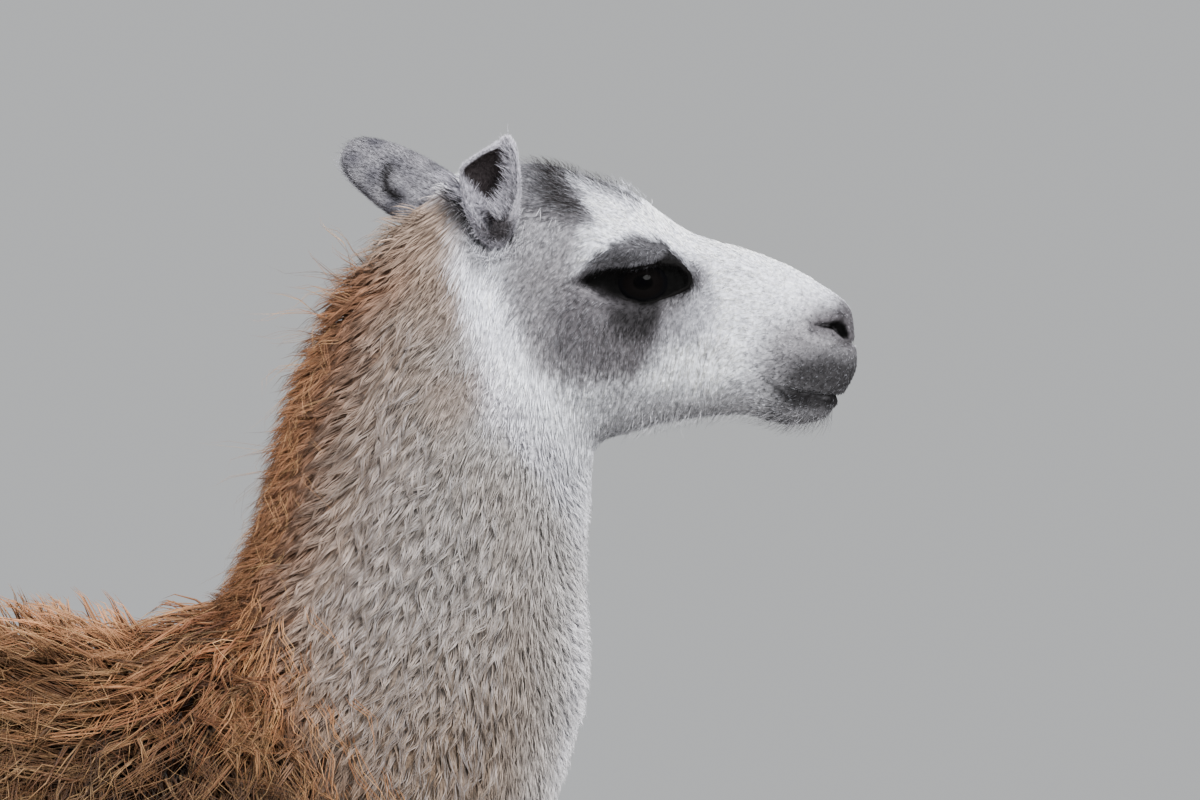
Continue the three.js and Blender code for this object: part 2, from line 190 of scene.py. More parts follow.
def edges_of(mesh):
    return array_of(mesh.edges, "vertices", 2, np.int32)


def new_object(name, data):
    thing = bpy.data.objects.new(name, data)
    bpy.context.scene.collection.objects.link(thing)
    return thing


def edited(mesh, change):
    """The mesh, after a function has changed it as a bmesh."""
    body = bmesh.new()
    body.from_mesh(mesh)
    change(body)
    body.to_mesh(mesh)
    body.free()
    mesh.update()
    return mesh


def with_modifier(mesh, kind, **settings):
    """The mesh as one modifier leaves it."""
    thing = new_object("working", mesh)
    modifier = thing.modifiers.new(kind.title(), kind)
    for name, value in settings.items():
        setattr(modifier, name, value)
    graph = bpy.context.evaluated_depsgraph_get()
    result = bpy.data.meshes.new_from_object(thing.evaluated_get(graph))
    bpy.data.objects.remove(thing)
    return result


def relaxed(points, edges, turns, share=0.5):
    """Each point drawn towards the middle of its neighbours, and back out again so that nothing shrinks."""
    ends = edges.ravel()
    others = edges[:, ::-1].ravel()
    count = np.maximum(np.bincount(ends, minlength=len(points)), 1)[:, None]
    points = points.astype(float)
    for step in [share, -share - 0.03] * turns:
        total = np.stack([np.bincount(ends, points[others, k], len(points)) for k in range(3)], axis=1)
        points = points + step * (total / count - points)
    return points


def set_points(mesh, points):
    mesh.vertices.foreach_set("co", np.asarray(points, np.float32).ravel())
    mesh.update()


def walled(rings, ends_meet=False):
    """Points and faces of a wall through closed rings. Its ends meet, or each is closed by one face."""
    along, around = rings.shape[:2]
    rows = along if ends_meet else along - 1
    k, j = np.meshgrid(np.arange(rows), np.arange(around), indexing="ij")
    k2, j2 = (k + 1) % along, (j + 1) % around
    faces = np.stack([k * around + j, k * around + j2, k2 * around + j2, k2 * around + j], axis=-1)
    faces = faces.reshape(-1, 4).tolist()
    if not ends_meet:
        last = (along - 1) * around
        faces += [list(range(around))[::-1], list(range(last, last + around))]
    return rings.reshape(-1, 3), faces


def smooth_mesh(name, points, faces):
    """A smooth mesh with its faces turned outward."""
    mesh = bpy.data.meshes.new(name)
    mesh.from_pydata(points.tolist(), [], faces)
    edited(mesh, lambda body: bmesh.ops.recalc_face_normals(body, faces=body.faces))
    mesh.shade_smooth()
    return mesh


# ---------------------------------------------------------------- the skin

SKIN_VOXEL = 0.0075  # spacing of the skin's points; it halves on the head, and again at eyes and lips
CUT_FILL = 0.0006  # how much fatter each solid is made, so that the thin cuts close
FEEL = 0.02  # how far outside the skin the solids are felt for
MOST_PUSH = 0.008  # how far at most the head's skin is put back
BALL_FILL = 1.12  # how much larger the balls are that close the sockets


def coat_depth(points):
    """How deep the coat is over the skin, in millimetres."""
    ahead, out, up = places(points)
    head = smooth_step(of_head(ahead, up), -60, 10)
    neck = smooth_step(of_neck(ahead, up), -150, 40)
    crest = 1.0 - smooth_step(ahead - line_at(CREST, up), 10, 60)
    trunk = 50.0 - 22.0 * smooth_step(-up, 640, 800)
    depth = trunk * (1.0 - neck) + (13.0 + 5.0 * crest) * neck
    depth = depth * (1.0 - head) + 2.5 * head
    height = up - FLOOR_UP
    leg = np.interp(height, [0, 60, 130, 400, 480, 600, 720], [1.5, 3.0, 5.0, 6.0, 9.0, 18.0, 34.0])
    on_leg = of_legs(ahead, out, up)
    depth = depth * (1.0 - on_leg) + leg * on_leg
    tail = smooth_step(-ahead, 1090, 1120)
    return depth * (1.0 - tail) + np.interp(height, [760, 800, 900], [8, 20, 24]) * tail


def joined_flesh():
    """The flesh solids in one mesh, each a little fatter so that the thin cuts between them close."""
    whole = bmesh.new()
    for name in FLESH:
        solid = bmesh.new()
        solid.from_mesh(bpy.data.objects[name].data)
        bmesh.ops.remove_doubles(solid, verts=solid.verts, dist=1e-5)
        solid.normal_update()
        for vertex in solid.verts:
            vertex.co += vertex.normal * CUT_FILL
        mesh = bpy.data.meshes.new("solid")
        solid.to_mesh(mesh)
        whole.from_mesh(mesh)
        solid.free()
        bpy.data.meshes.remove(mesh)
    mesh = bpy.data.meshes.new("flesh")
    whole.to_mesh(mesh)
    whole.free()
    return mesh


def filled_eyes(mesh):
    """Adds the eyeballs to the flesh, so that the sockets close before the lids are shaped."""

    def add_balls(body):
        for side in (-1, 1):
            place = Matrix.Translation((EYE[0], side * abs(EYE[1]), EYE[2]))
            bmesh.ops.create_icosphere(body, subdivisions=3, radius=EYE_RADIUS * BALL_FILL, matrix=place)

    return edited(mesh, add_balls)


def finer(mesh, wanted):
    """Splits the faces whose corners are all wanted, which halves the spacing there."""

    def split(body):
        body.verts.ensure_lookup_table()
        edges = [e for e in body.edges if wanted[e.verts[0].index] and wanted[e.verts[1].index]]
        bmesh.ops.subdivide_edges(body, edges=edges, cuts=1, use_grid_fill=True)

    return edited(mesh, split)


def grown_in(mesh, steps=4):
    """Moves the surface inwards by the depth of the coat, a part at a time, and keeps it smooth."""
    edges = edges_of(mesh)
    start = points_of(mesh)
    depth = coat_depth(start) * MM
    points = relaxed(start, edges, 3)
    for _ in range(steps):
        set_points(mesh, points)
        points = points - normals_of(mesh) * (depth / steps)[:, None]
        points = relaxed(points, edges, 2)
    set_points(mesh, points)
    return mesh


def true_to_solids(mesh, flesh, turns):
    """Puts the head's skin back at the coat's depth under the solids, where smoothing drew it in."""
    tree = BVHTree.FromPolygons([v.co for v in flesh.vertices], [tuple(p.vertices) for p in flesh.polygons])
    points, normals = points_of(mesh), normals_of(mesh)
    ahead, out, up = places(points)
    depth = coat_depth(points) * MM
    socket = (np.abs(ahead) < 30) & (np.abs(up) < 17) & (out > 40)
    for index in np.flatnonzero((of_head(ahead, up) > -60) & ~socket):
        way = Vector(normals[index])
        hit, _, _, far = tree.ray_cast(Vector(points[index]) + way * FEEL, -way, 2 * FEEL)
        if hit:
            points[index] += normals[index] * np.clip(FEEL - far - depth[index], -MOST_PUSH, MOST_PUSH)
    set_points(mesh, relaxed(points, edges_of(mesh), turns))
    return mesh


# ---------------------------------------------------------------- shaping the head

# Outlines and lines in the side view, in millimetres ahead of the eye and above it.
LID_LINE = [
    (-44, 2), (-33, 7), (-20, 8.6), (-4, 10.5), (12, 13.5), (26, 12.2), (34, 5.4), (35, -1), (31, -4.5),
    (20, -9.8), (8, -14.3), (-2, -15.4), (-14, -12.9), (-24, -7.6), (-33, -3.4), (-41.5, -0.6),
]
NOSTRIL = [(137, -33), (147, -31.5), (160, -28), (164, -33), (166, -45), (160, -44), (152, -37), (144, -35)]
MOUTH = [(92, -73), (99, -78.5), (109, -83), (120, -86.6), (139, -90), (154, -91), (166, -90), (178, -88)]
NOSE_LIP = [(152, -51), (160, -49.5), (168, -47.5), (176, -46)]
CHEEK_CREST = [(34, -38), (52, -46), (70, -51), (88, -56), (104, -60)]
UNDER_EYE = [(-36, -18), (-20, -27), (0, -33), (16, -31), (30, -22)]


def from_line(line, ahead, up):
    """Distance from a broken line of the side view, and the share of its length at the nearest place."""
    corners = np.array(line, float)
    best = np.full(len(ahead), 1e9)
    share = np.zeros(len(ahead))
    lengths = np.linalg.norm(np.diff(corners, axis=0), axis=1)
    starts = np.concatenate([[0.0], np.cumsum(lengths)])
    for (x0, z0), (x1, z1), start, length in zip(corners[:-1], corners[1:], starts, lengths):
        step = ((ahead - x0) * (x1 - x0) + (up - z0) * (z1 - z0)) / length**2
        step = np.clip(step, 0.0, 1.0)
        far = np.hypot(ahead - x0 - step * (x1 - x0), up - z0 - step * (z1 - z0))
        nearer = far < best
        best = np.where(nearer, far, best)
        share = np.where(nearer, (start + step * length) / starts[-1], share)
    return best, share


def from_outline(outline, ahead, up):
    """Distance from a closed outline of the side view, less than nothing inside it."""
    far, _ = from_line([*outline, outline[0]], ahead, up)
    inside = np.zeros(len(ahead), bool)
    for (x0, z0), (x1, z1) in zip(outline, [*outline[1:], outline[0]]):
        if z0 == z1:
            continue
        crosses = (z0 > up) != (z1 > up)
        inside ^= crosses & (ahead < x0 + (up - z0) / (z1 - z0) * (x1 - x0))
    return np.where(inside, -far, far)


def bump_at(points, centre, size):
    """A smooth hump round a place of the head, 1 at its middle, given in millimetres from the eye."""
    ahead, out, up = places(points)
    far = ((ahead - centre[0]) / size[0]) ** 2 + ((out - centre[1]) / size[1]) ** 2
    return np.exp(-(far + ((up - centre[2]) / size[2]) ** 2))


# Humps and hollows of the head: name, middle (ahead, out, up), half sizes, and how far out in millimetres.
HEAD_FORMS = [
    ("brow", (-4, 62, 26), (34, 22, 13), 4.6),
    ("brow fold", (-4, 70, 16.5), (34, 20, 4.2), -2.0),
    ("temple", (-58, 62, 8), (26, 24, 24), -3.0),
    ("hollow before the eye", (50, 52, 2), (19, 20, 15), -3.4),
    ("below the inner corner", (40, 56, -18), (16, 20, 10), -1.8),
    ("cheek bone", (14, 68, -36), (40, 24, 9), 2.6),
    ("cheek hollow", (46, 50, -62), (36, 20, 17), -2.6),
    ("jaw angle", (-52, 60, -70), (34, 24, 30), 3.0),
    ("bridge side", (84, 40, 4), (44, 14, 12), -1.8),
    ("nose pad", (154, 20, -22), (18, 14, 10), 1.5),
    ("nostril wing", (148, 30, -44), (15, 16, 8), 2.4),
    ("upper lip", (150, 26, -72), (22, 16, 15), 3.4),
    ("chin", (140, 16, -105), (22, 20, 10), 3.6),
    ("jaw line", (30, 34, -112), (76, 24, 12), 3.0),
    ("nose tip", (158, 10, -24), (16, 14, 12), 2.6),
    ("mouth corner", (95, 40, -75), (8, 14, 7), -1.2),
    ("poll", (-76, 0, 84), (30, 34, 16), 2.0),
]


def moved(place, way, millimetres):
    return place + way * (millimetres * MM)[:, None]


def on_bones(place, way, side):
    """The head's skin over its bones, the crest of its cheek and the hollow under its eye."""
    ahead, _, up = places(place)
    rise = sum(height * bump_at(place, centre, size) for _, centre, size, height in HEAD_FORMS)
    crest, share = from_line(CHEEK_CREST, ahead, up)
    rise += 2.2 * falling_off(crest, 7.0) * side * np.sin(np.pi * np.clip(share + 0.1, 0, 1))
    under, _ = from_line(UNDER_EYE, ahead, up)
    rise -= 1.6 * falling_off(under, 6.0) * side
    return moved(place, way, rise)


def with_lips(place, way):
    """The groove of the mouth, the notch under the nose and the cleft of the upper lip."""
    ahead, out, up = places(place)
    mouth, share = from_line(MOUTH, ahead, up)
    groove = (1.2 + 3.2 * smooth_step(share, 0.1, 0.6)) * falling_off(mouth, 2.0)
    place = moved(place, way, -groove * smooth_step(ahead, 92, 104))
    notch, _ = from_line(NOSE_LIP, ahead, up)
    place = moved(place, way, -3.4 * falling_off(notch, 2.6) * smooth_step(ahead, 140, 158))
    cleft = falling_off(out, 2.6) * smooth_step(ahead, 150, 166) * smooth_step(up, -93, -84)
    cleft *= 1.0 - smooth_step(up, -34, -24)
    return moved(place, way, -3.2 * cleft)


def with_nostrils(place, way, side, hole):
    """A pocket at each nostril, and its raised rim; hole is the distance from the nostril's outline."""
    hollow = 1.0 - smooth_step(hole, -4.0, 1.6)
    place = place - np.array([0.35, 0, 0]) * (9.0 * hollow * side * MM)[:, None]
    place[:, 1] -= np.sign(place[:, 1]) * 10.0 * hollow * side * MM
    return moved(place, way, 1.2 * falling_off(hole - 2.6, 1.7) * side)


def shaped_head(mesh):
    """The bones, lips and nostrils of the head, pushed out of the smooth skin."""
    points = points_of(mesh)
    ahead, _, up = places(points)
    head = np.flatnonzero(of_head(ahead, up) > -80)
    way = normals_of(mesh)[head]
    side = smooth_step(places(points[head])[1], 16, 30)
    place = on_bones(points[head], way, side)
    ahead, _, up = places(place)
    hole = from_outline(NOSTRIL, ahead, up)
    points[head] = with_nostrils(with_lips(place, way), way, side, hole)
    set_points(mesh, points)
    return mesh


# The eyeball is an egg: half sizes ahead, out and up, and how far out its middle lies.
BALL = (26.0, 18.0, 21.0)
BALL_OUT = 49.5
CORNEA = 0.035  # how far the cornea is raised, as a share of the ball
CORNEA_SPREAD = 0.22
CORNER_OUT = 61.3  # the dark skin in the corners of the eye
LID_WIDTH = 13.0  # how far from the opening the skin still follows the ball


def ball_out(ahead, up):
    """How far out the front of the eyeball is."""
    inside = 1.0 - (ahead / BALL[0]) ** 2 - (up / BALL[2]) ** 2
    return BALL_OUT + BALL[1] * np.sqrt(np.maximum(inside, 0.0))


def rim_out(ahead, up):
    """How far out the edges of the lids are."""
    return np.maximum(ball_out(ahead, up) + 1.8, CORNER_OUT + 1.2)


def lidded(mesh):
    """Lays the skin round each eyeball, and tucks it behind the ball inside the opening of the lids."""
    points = points_of(mesh)
    ahead, out, up = places(points)
    near = np.flatnonzero((np.hypot(ahead, up) < 70) & (out > 40))
    ahead, out, up = ahead[near], out[near], up[near]
    edge = from_outline(LID_LINE, ahead, up)
    lid = 1.0 - smooth_step(edge, 0.0, LID_WIDTH)
    target = out * (1.0 - lid) + (rim_out(ahead, up) + 0.4 * np.maximum(edge, 0.0) ** 0.7) * lid
    inside = smooth_step(-edge, 0.2, 1.8)
    target = target * (1.0 - inside) + CORNER_OUT * inside
    points[near, 1] = np.sign(points[near, 1]) * target * MM
    set_points(mesh, points)
    return mesh


# ---------------------------------------------------------------- the ears

EAR_AROUND = 30  # points round the outside of an ear's wall, and as many round its inside
EAR_ALONG = 50
EAR_WALL = 2.6
EAR_RIM = 0.42  # how wide the hollow opens, as a share of the way round to the back
# An ear's root is in millimetres from the place between the eyes, and its hollow opens between two shares of
# its length. A station is a share of the length, and the leaf's half width ahead, half width behind and depth
# there, in millimetres.
EARS = {
    "ear_right": {
        "root": (-118, -46, 29), "tip": (0.085, -0.58, 0.81), "open": (-0.3, -0.79, -0.53), "long": 104,
        "hollow": (0.1, 0.6),
        "stations": [
            (0, 5, 6, 6), (0.1, 11, 12, 11), (0.25, 16, 22, 16), (0.45, 17, 30, 16), (0.63, 16, 33, 13),
            (0.8, 13, 19, 9), (0.94, 9, 5, 6), (1, 5, 1, 3),
        ],
    },
    "ear_left": {
        "root": (-118, 40, 35), "tip": (-0.82, 0.2, 0.52), "open": (-0.2, 0.9, -0.3), "long": 146,
        "hollow": (0.15, 0.5),
        "stations": [
            (0, 8, 8, 8), (0.1, 16, 16, 13), (0.25, 25, 25, 17), (0.48, 29, 29, 16), (0.7, 27, 27, 13),
            (0.87, 21, 21, 9), (0.96, 14, 14, 6), (1, 8, 8, 3),
        ],
    },
}


def eased(stations, share):
    """The values of the stations at each share of the length, on a smooth curve through them."""
    at = np.array([s[0] for s in stations], float)
    values = np.array([s[1:] for s in stations], float)
    slopes = np.gradient(values, at, axis=0)
    index = np.clip(np.searchsorted(at, share, side="right") - 1, 0, len(at) - 2)
    span = (at[index + 1] - at[index])[:, None]
    t = ((share - at[index]) / span[:, 0])[:, None]
    start = values[index] * (2 * t**3 - 3 * t**2 + 1) + slopes[index] * span * (t**3 - 2 * t**2 + t)
    return start + values[index + 1] * (3 * t**2 - 2 * t**3) + slopes[index + 1] * span * (t**3 - t**2)


def ear_axes(shape):
    """The directions out of the hollow, across the leaf and to the tip."""
    tip = unit(np.array(shape["tip"], float))
    across = unit(np.cross(tip, np.array(shape["open"], float)))
    return np.cross(across, tip), across, tip


def from_ear_root(points, name):
    """Places on an ear: millimetres out of its hollow and across its leaf, and its share of the length."""
    shape = EARS[name]
    local = (points - EYE_LEVEL) / MM - np.array(shape["root"], float)
    out_axis, across_axis, tip_axis = ear_axes(shape)
    return local @ out_axis, local @ across_axis, local @ tip_axis / shape["long"]


def ear_mesh(shape):
    """A leaf with a thin wall round its hollow: up the outside, over the rim and down the inside."""
    share = (1 - np.cos(np.linspace(0, np.pi, EAR_ALONG))) / 2 * 0.5 + np.linspace(0, 1, EAR_ALONG) * 0.5
    ahead, behind, deep = np.maximum(eased(shape["stations"], share), 0.6).T
    low, high = shape["hollow"]
    opened = smooth_step(share, low, high) * (1.0 - 0.55 * smooth_step(share, 0.8, 1.0))
    around = np.linspace(0.0, 1.0, EAR_AROUND)
    out_axis, across_axis, tip_axis = ear_axes(shape)
    rings = []
    for k, height in enumerate(share):
        rim = np.pi * EAR_RIM * opened[k]
        turn = rim + (2 * np.pi - 2 * rim) * around
        middle, half = (ahead[k] - behind[k]) / 2, (ahead[k] + behind[k]) / 2
        closing = 1.0 - smooth_step(height, 0.93, 1.0)
        wall = min(EAR_WALL, 0.4 * min(deep[k], half)) * (0.4 + 0.6 * closing)
        outer = np.stack([deep[k] * np.cos(turn), middle + half * np.sin(turn)], axis=1)
        turn = turn[::-1]
        inner = [(deep[k] - wall) * np.cos(turn) + 0.25 * wall, middle + (half - wall) * np.sin(turn)]
        flat = np.concatenate([outer, np.stack(inner, axis=1)])
        rings.append(flat[:, :1] * out_axis + flat[:, 1:] * across_axis + height * shape["long"] * tip_axis)
    points, faces = walled(np.array(rings))
    return smooth_mesh("ear", (points + np.array(shape["root"], float)) * MM + EYE_LEVEL, faces)


# ---------------------------------------------------------------- lids, eyes and nails


def closed_curve(corners, count):
    """Points evenly along a smooth closed curve through the corners."""
    corners = np.array(corners, float)
    shares = np.arange(count * 8) / (count * 8) * len(corners)
    index = shares.astype(int)
    t = (shares - index)[:, None]
    before, start, end, after = (corners[(index + k) % len(corners)] for k in (-1, 0, 1, 2))
    curve = 0.5 * (2 * start + (end - before) * t + (2 * before - 5 * start + 4 * end - after) * t**2
                   + (3 * start - before - 3 * end + after) * t**3)
    steps = np.linalg.norm(np.roll(curve, -1, axis=0) - curve, axis=1)
    run = np.concatenate([[0.0], np.cumsum(steps)])
    wanted = np.arange(count) / count * run[-1]
    closed = np.concatenate([curve, curve[:1]])
    return np.stack([np.interp(wanted, run, closed[:, k]) for k in range(2)], axis=1)


LID_POINTS = 120
# The section of a lid's rim: how far outside the edge of the opening, and how high above the rim.
LID_SECTION = [
    (-1.3, -1.4), (-0.6, -0.1), (0.5, 0.7), (1.8, 0.7), (3.2, 0.1), (4.2, -1.0), (3.0, -3.2), (0.5, -4.2),
]


def lid_rims():
    """The smooth black rims of the lids, one closed band round each eye."""
    curve = closed_curve(LID_LINE, LID_POINTS)
    along = np.roll(curve, -2, axis=0) - np.roll(curve, 2, axis=0)
    outward = unit(np.stack([-along[:, 1], along[:, 0]], axis=1))
    outward *= -1.0 if from_outline(LID_LINE, *(curve[:4] + outward[:4]).T)[0] < 0 else 1.0
    upper = smooth_step(curve[:, 1] + outward[:, 1] * 6, -4, 8)
    rings = []
    for far, high in LID_SECTION:
        flat = curve + outward * (far * (0.75 + 0.35 * upper))[:, None]
        base = np.maximum(ball_out(*flat.T), CORNER_OUT) if far < 0 else rim_out(*flat.T)
        rings.append(np.stack([flat[:, 0], base + high * (0.85 + 0.3 * upper), flat[:, 1]], axis=1))
    points, faces = walled(np.stack(rings, axis=1), ends_meet=True)
    both = [points * (1, side, 1) * MM + EYE_LEVEL for side in (-1, 1)]
    other = [[corner + len(points) for corner in face] for face in faces]
    return smooth_mesh("lid_rims", np.concatenate(both), faces + other)


def eyeball_mesh(side):
    """An egg with a slightly raised cornea."""

    def egg(body):
        bmesh.ops.create_icosphere(body, subdivisions=5, radius=1.0)
        for vertex in body.verts:
            x, y, z = vertex.co
            raised = math.exp(-((x + 0.02) ** 2 + z**2) / CORNEA_SPREAD) * CORNEA if y * side > 0 else 0.0
            middle = (EYE[0], side * BALL_OUT * MM, EYE[2])
            size = [v * MM * (1 + raised) for v in BALL]
            vertex.co = (middle[0] + x * size[0], middle[1] + y * size[1], middle[2] + z * size[2])

    mesh = edited(bpy.data.meshes.new("eyeball"), egg)
    mesh.shade_smooth()
    return mesh


NAIL_AROUND = 28
NAIL_ALONG = 25
NAIL_TALL = 22.5  # the height that the ridge and the sole below are given for, in millimetres
NAIL_MARK = 0.012  # how far the growth rings stand out, as a share
NAIL_TURNS = 44  # of the growth rings along a nail, in radians
# A nail's rings: share of the length, share of the width, height of the ridge and of the sole.
NAIL_RINGS = [
    (0.0, 0.62, 19, 6), (0.15, 0.86, 22.5, 3), (0.35, 1.0, 21.5, 1.2), (0.6, 0.93, 17.0, 0.8),
    (0.8, 0.72, 12.0, 0.8), (0.93, 0.45, 8.0, 1.0), (1.0, 0.12, 4.6, 1.8),
]


def nail_mesh(name):
    """A curved horn nail over its toe: a ridge on top, rounded sides, growth rings and a blunt tip."""
    low, high = (np.array(corner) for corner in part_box(name))
    middle, wide = (low[1] + high[1]) / 2, (high[1] - low[1]) / 2
    scale = high[2] / MM / NAIL_TALL
    turn = np.linspace(0, 2 * np.pi, NAIL_AROUND, endpoint=False)
    lobe = np.sign(np.cos(turn)) * np.abs(np.cos(turn)) ** 0.8
    up = np.maximum(np.sin(turn), 0.0) ** 0.9
    down = np.maximum(-np.sin(turn), 0.0) ** 0.6
    rings = []
    for share in np.linspace(0, 1, NAIL_ALONG):
        across, ridge, sole = eased(NAIL_RINGS, np.array([share]))[0]
        centre = (ridge * 0.42 + sole * 0.58) * scale
        mark = 1.0 + NAIL_MARK * math.sin(share * NAIL_TURNS)
        height = centre + up * (ridge * scale - centre) * mark - down * (centre - sole)
        along = np.full(NAIL_AROUND, low[0] + share * (high[0] - low[0]))
        rings.append(np.stack([along, middle + lobe * wide * across * mark, height * MM], axis=1))
    return smooth_mesh("nail", *walled(np.array(rings)))


# ---------------------------------------------------------------- markings, with painted light and shade


def tone(red, green, blue):
    """A display colour as linear light."""
    share = np.array([red, green, blue]) / 255.0
    return np.where(share <= 0.04045, share / 12.92, ((share + 0.055) / 1.055) ** 2.4)


WHITE = tone(239, 241, 252)
# Painted light: a brighter white for the lower face, whose sides get less light than the top.
LIT_CHEEK_WHITE = tone(244, 247, 255)
SOFT_GREY = tone(162, 160, 165)
# Painted shade under the jaw and on the throat; the same grey also tints the patch at the ear's foot.
JAW_SHADE_GREY = tone(138, 137, 141)
GREY = tone(88, 85, 89)
CHEEK_GREY = tone(132, 129, 133)
SMOKE = tone(56, 54, 57)
LIP_GREY = tone(34, 33, 34)
SOOT = tone(13, 12, 12)
LID_BLACK = tone(7, 7, 7)
CROWN = tone(21, 17, 15)
NAPE_BEIGE = tone(128, 108, 94)
NECK_GREY = tone(142, 135, 130)
NECK_FRONT = tone(172, 170, 171)
NECK_WHITE = tone(212, 211, 219)
NECK_LOW = tone(104, 85, 68)
RUST = tone(103, 66, 42)
WOOL = tone(120, 80, 51)
WOOL_DARK = tone(76, 48, 29)
WOOL_SHADE = WOOL_DARK * 0.45
WOOL_PALE = tone(166, 114, 80)
STRAW = tone(206, 168, 118)
TANGLE = tone(90, 50, 31)
BELLY = tone(196, 180, 160)
LEG_TAN = tone(178, 150, 122)
FOOT_WHITE = tone(206, 198, 188)
EAR_HOLLOW = tone(44, 40, 41)
EAR_PALE = tone(148, 146, 155)
# Painted shade: a darker copy of the pale ear colour, for the far ear.
FAR_EAR_SHADED = tone(74, 73, 79)

# Outlines and lines of the markings and of the painted shade in the side view, in millimetres ahead of the
# eye and above it.
BROW_PATCH = [
    (-60, 3), (-51, 11), (-35, 25), (-16, 34), (3, 36.5), (18, 32.5), (32, 24), (40, 13), (43, 1),
    (36, -7), (22, -14), (0, -21), (-20, -18), (-44, -5),
]
BROW_CORE = [
    (-44, 2), (-30, 6), (-12, 9), (6, 14), (20, 24), (31, 20), (38, 11), (40, 1), (33, -7), (12, -19),
    (-10, -20), (-30, -10),
]
CHEEK_PATCH = [
    (-106, 4), (-104, -23), (-100, -50), (-90, -66), (-76, -76), (-44, -82), (-4, -80), (8, -64),
    (16, -47), (27, -26), (38, -8), (20, -4), (-30, 8), (-58, 16), (-88, 16),
]
CHEEK_CORE = [
    (-64, 2), (-40, -4), (-10, -12), (14, -16), (28, -20), (20, -40), (11, -56), (-6, -72), (-44, -70),
    (-72, -56), (-74, -30),
]
# Under the eye: partly the dark marking round the eye and partly painted shade of the crease under the lower
# lid.
UNDER_EYE_MARK_AND_SHADE = [(-27, -18), (-6, -18), (18, -18), (17, -34), (-2, -43), (-27, -36)]
# Painted shade in the hollows before and below the eye's inner corner.
INNER_HOLLOW_SHADE = [(34, 14), (46, 18), (58, 4), (62, -16), (54, -34), (38, -48), (18, -44), (20, -20), (30, -8)]
CROWN_PATCH = [
    (-106, 56), (-106, 104), (-70, 106), (-40, 96), (-14, 82), (-26, 74), (-44, 80), (-54, 83), (-44, 68),
    (-35, 46), (-52, 42), (-78, 50),
]
CROWN_CORE = [
    (-106, 70), (-102, 104), (-66, 106), (-20, 88), (-30, 82), (-52, 87), (-58, 80), (-48, 66), (-42, 50),
    (-56, 50), (-80, 64),
]
CROWN_STREAK = [(-72, 94), (-52, 88), (-34, 81), (-16, 73), (-4, 66)]  # along the top of the forehead
TEMPLE_PATCH = [(-108, 60), (-80, 66), (-46, 46), (-46, 26), (-60, 6), (-72, -6), (-104, -4), (-112, 20)]
TEMPLE_CORE = [(-104, 60), (-80, 60), (-50, 50), (-48, 32), (-62, 12), (-80, 10), (-104, 24)]
MUZZLE_PATCH = [
    (102, -34), (126, -26), (140, -28), (168, -48), (174, -70), (160, -90), (118, -88), (90, -76),
]
NOSE_SIDE = [(90, -56), (103, -32), (126, -15), (154, -6), (184, -24), (184, -54), (140, -56)]
NOSE_FRONT = [(119, -58), (129, -36), (143, -18), (165, -12), (181, -34), (181, -58)]
NOSE_TIP = [(128, -30), (144, -20), (158, -13), (172, -16), (184, -34), (184, -50), (164, -47), (146, -42)]
# The fold above the nostril, painted dark as shade.
NOSE_FOLD_SHADE = [(155, -18), (160, -23), (161, -28)]
UPPER_LIP = [
    (152, -52), (180, -48), (186, -80), (176, -91), (154, -93), (127, -89), (94, -77), (90, -66),
    (104, -50), (126, -46),
]
LIP_CORE = [
    (116, -64), (134, -56), (156, -55), (176, -57), (184, -78), (176, -92), (154, -94), (128, -90),
    (106, -82),
]
# Painted shadow of the upper lip on the top of the lower lip.
LOWER_LIP_SHADOW = [(112, -85), (140, -90), (168, -91), (167, -98), (140, -101), (116, -96)]
CHIN_PATCH = [
    (176, -92), (154, -94), (127, -89), (110, -84), (98, -96), (100, -112), (124, -122), (164, -116),
]
BEHIND_CHEEK = [(-176, 16), (-150, 18), (-142, -10), (-142, -34), (-160, -40), (-178, -20)]
NAPE_PATCH = [(-164, -66), (-128, -64), (-120, -100), (-150, -110), (-168, -92)]
EAR_FOOT = [(-152, 84), (-120, 96), (-98, 70), (-98, 30), (-112, 10), (-136, 6), (-154, 40)]
# Painted shade along the crease behind the ear.
EAR_CREASE_SHADE = [(-176, 92), (-162, 80), (-146, 63), (-130, 48), (-119, 36)]
EAR_HOOK = [(-124, 56), (-109, 58), (-103, 45), (-107, 32), (-121, 31), (-129, 41)]
EAR_FLAP = [(-156, 84), (-149, 89), (-132, 72), (-116, 55), (-114, 34), (-122, 22), (-142, 40)]
# The fold of the far ear, painted dark as shade.
LEFT_EAR_FOLD_SHADE = [(-203, 94), (-207, 84), (-204, 75), (-195, 70)]

# Patches in the order that they are laid: tone, outline, width of the soft edge in millimetres, strength, and
# whether the patch is on the sides of the head alone.
CHEEK_MARKS = [
    (SOFT_GREY, NOSE_SIDE, 34, 0.85, False),
    (GREY, NOSE_FRONT, 34, 0.7, False),
    (SOFT_GREY, TEMPLE_PATCH, 22, 0.9, True),
    (GREY, TEMPLE_CORE, 24, 0.35, True),
    (CHEEK_GREY, CHEEK_PATCH, 30, 0.95, True),
    (GREY, CHEEK_CORE, 30, 0.9, True),
]
EYE_MARKS = [
    # the dark under the eye: marking, with painted shade of its crease
    (LIP_GREY, UNDER_EYE_MARK_AND_SHADE, 13, 0.85, True),
    (SMOKE, BROW_PATCH, 9, 0.95, True),
    (SOOT, BROW_CORE, 9, 0.92, True),
]
MUZZLE_MARKS = [
    (JAW_SHADE_GREY, EAR_FOOT, 26, 0.8, True),
    (SOFT_GREY, MUZZLE_PATCH, 26, 0.75, False),
    (GREY, UPPER_LIP, 44, 0.8, False),
    (LIP_GREY, LIP_CORE, 26, 0.85, False),
    (SMOKE, CHIN_PATCH, 18, 0.62, False),
    (GREY, NOSE_TIP, 16, 0.85, False),
]
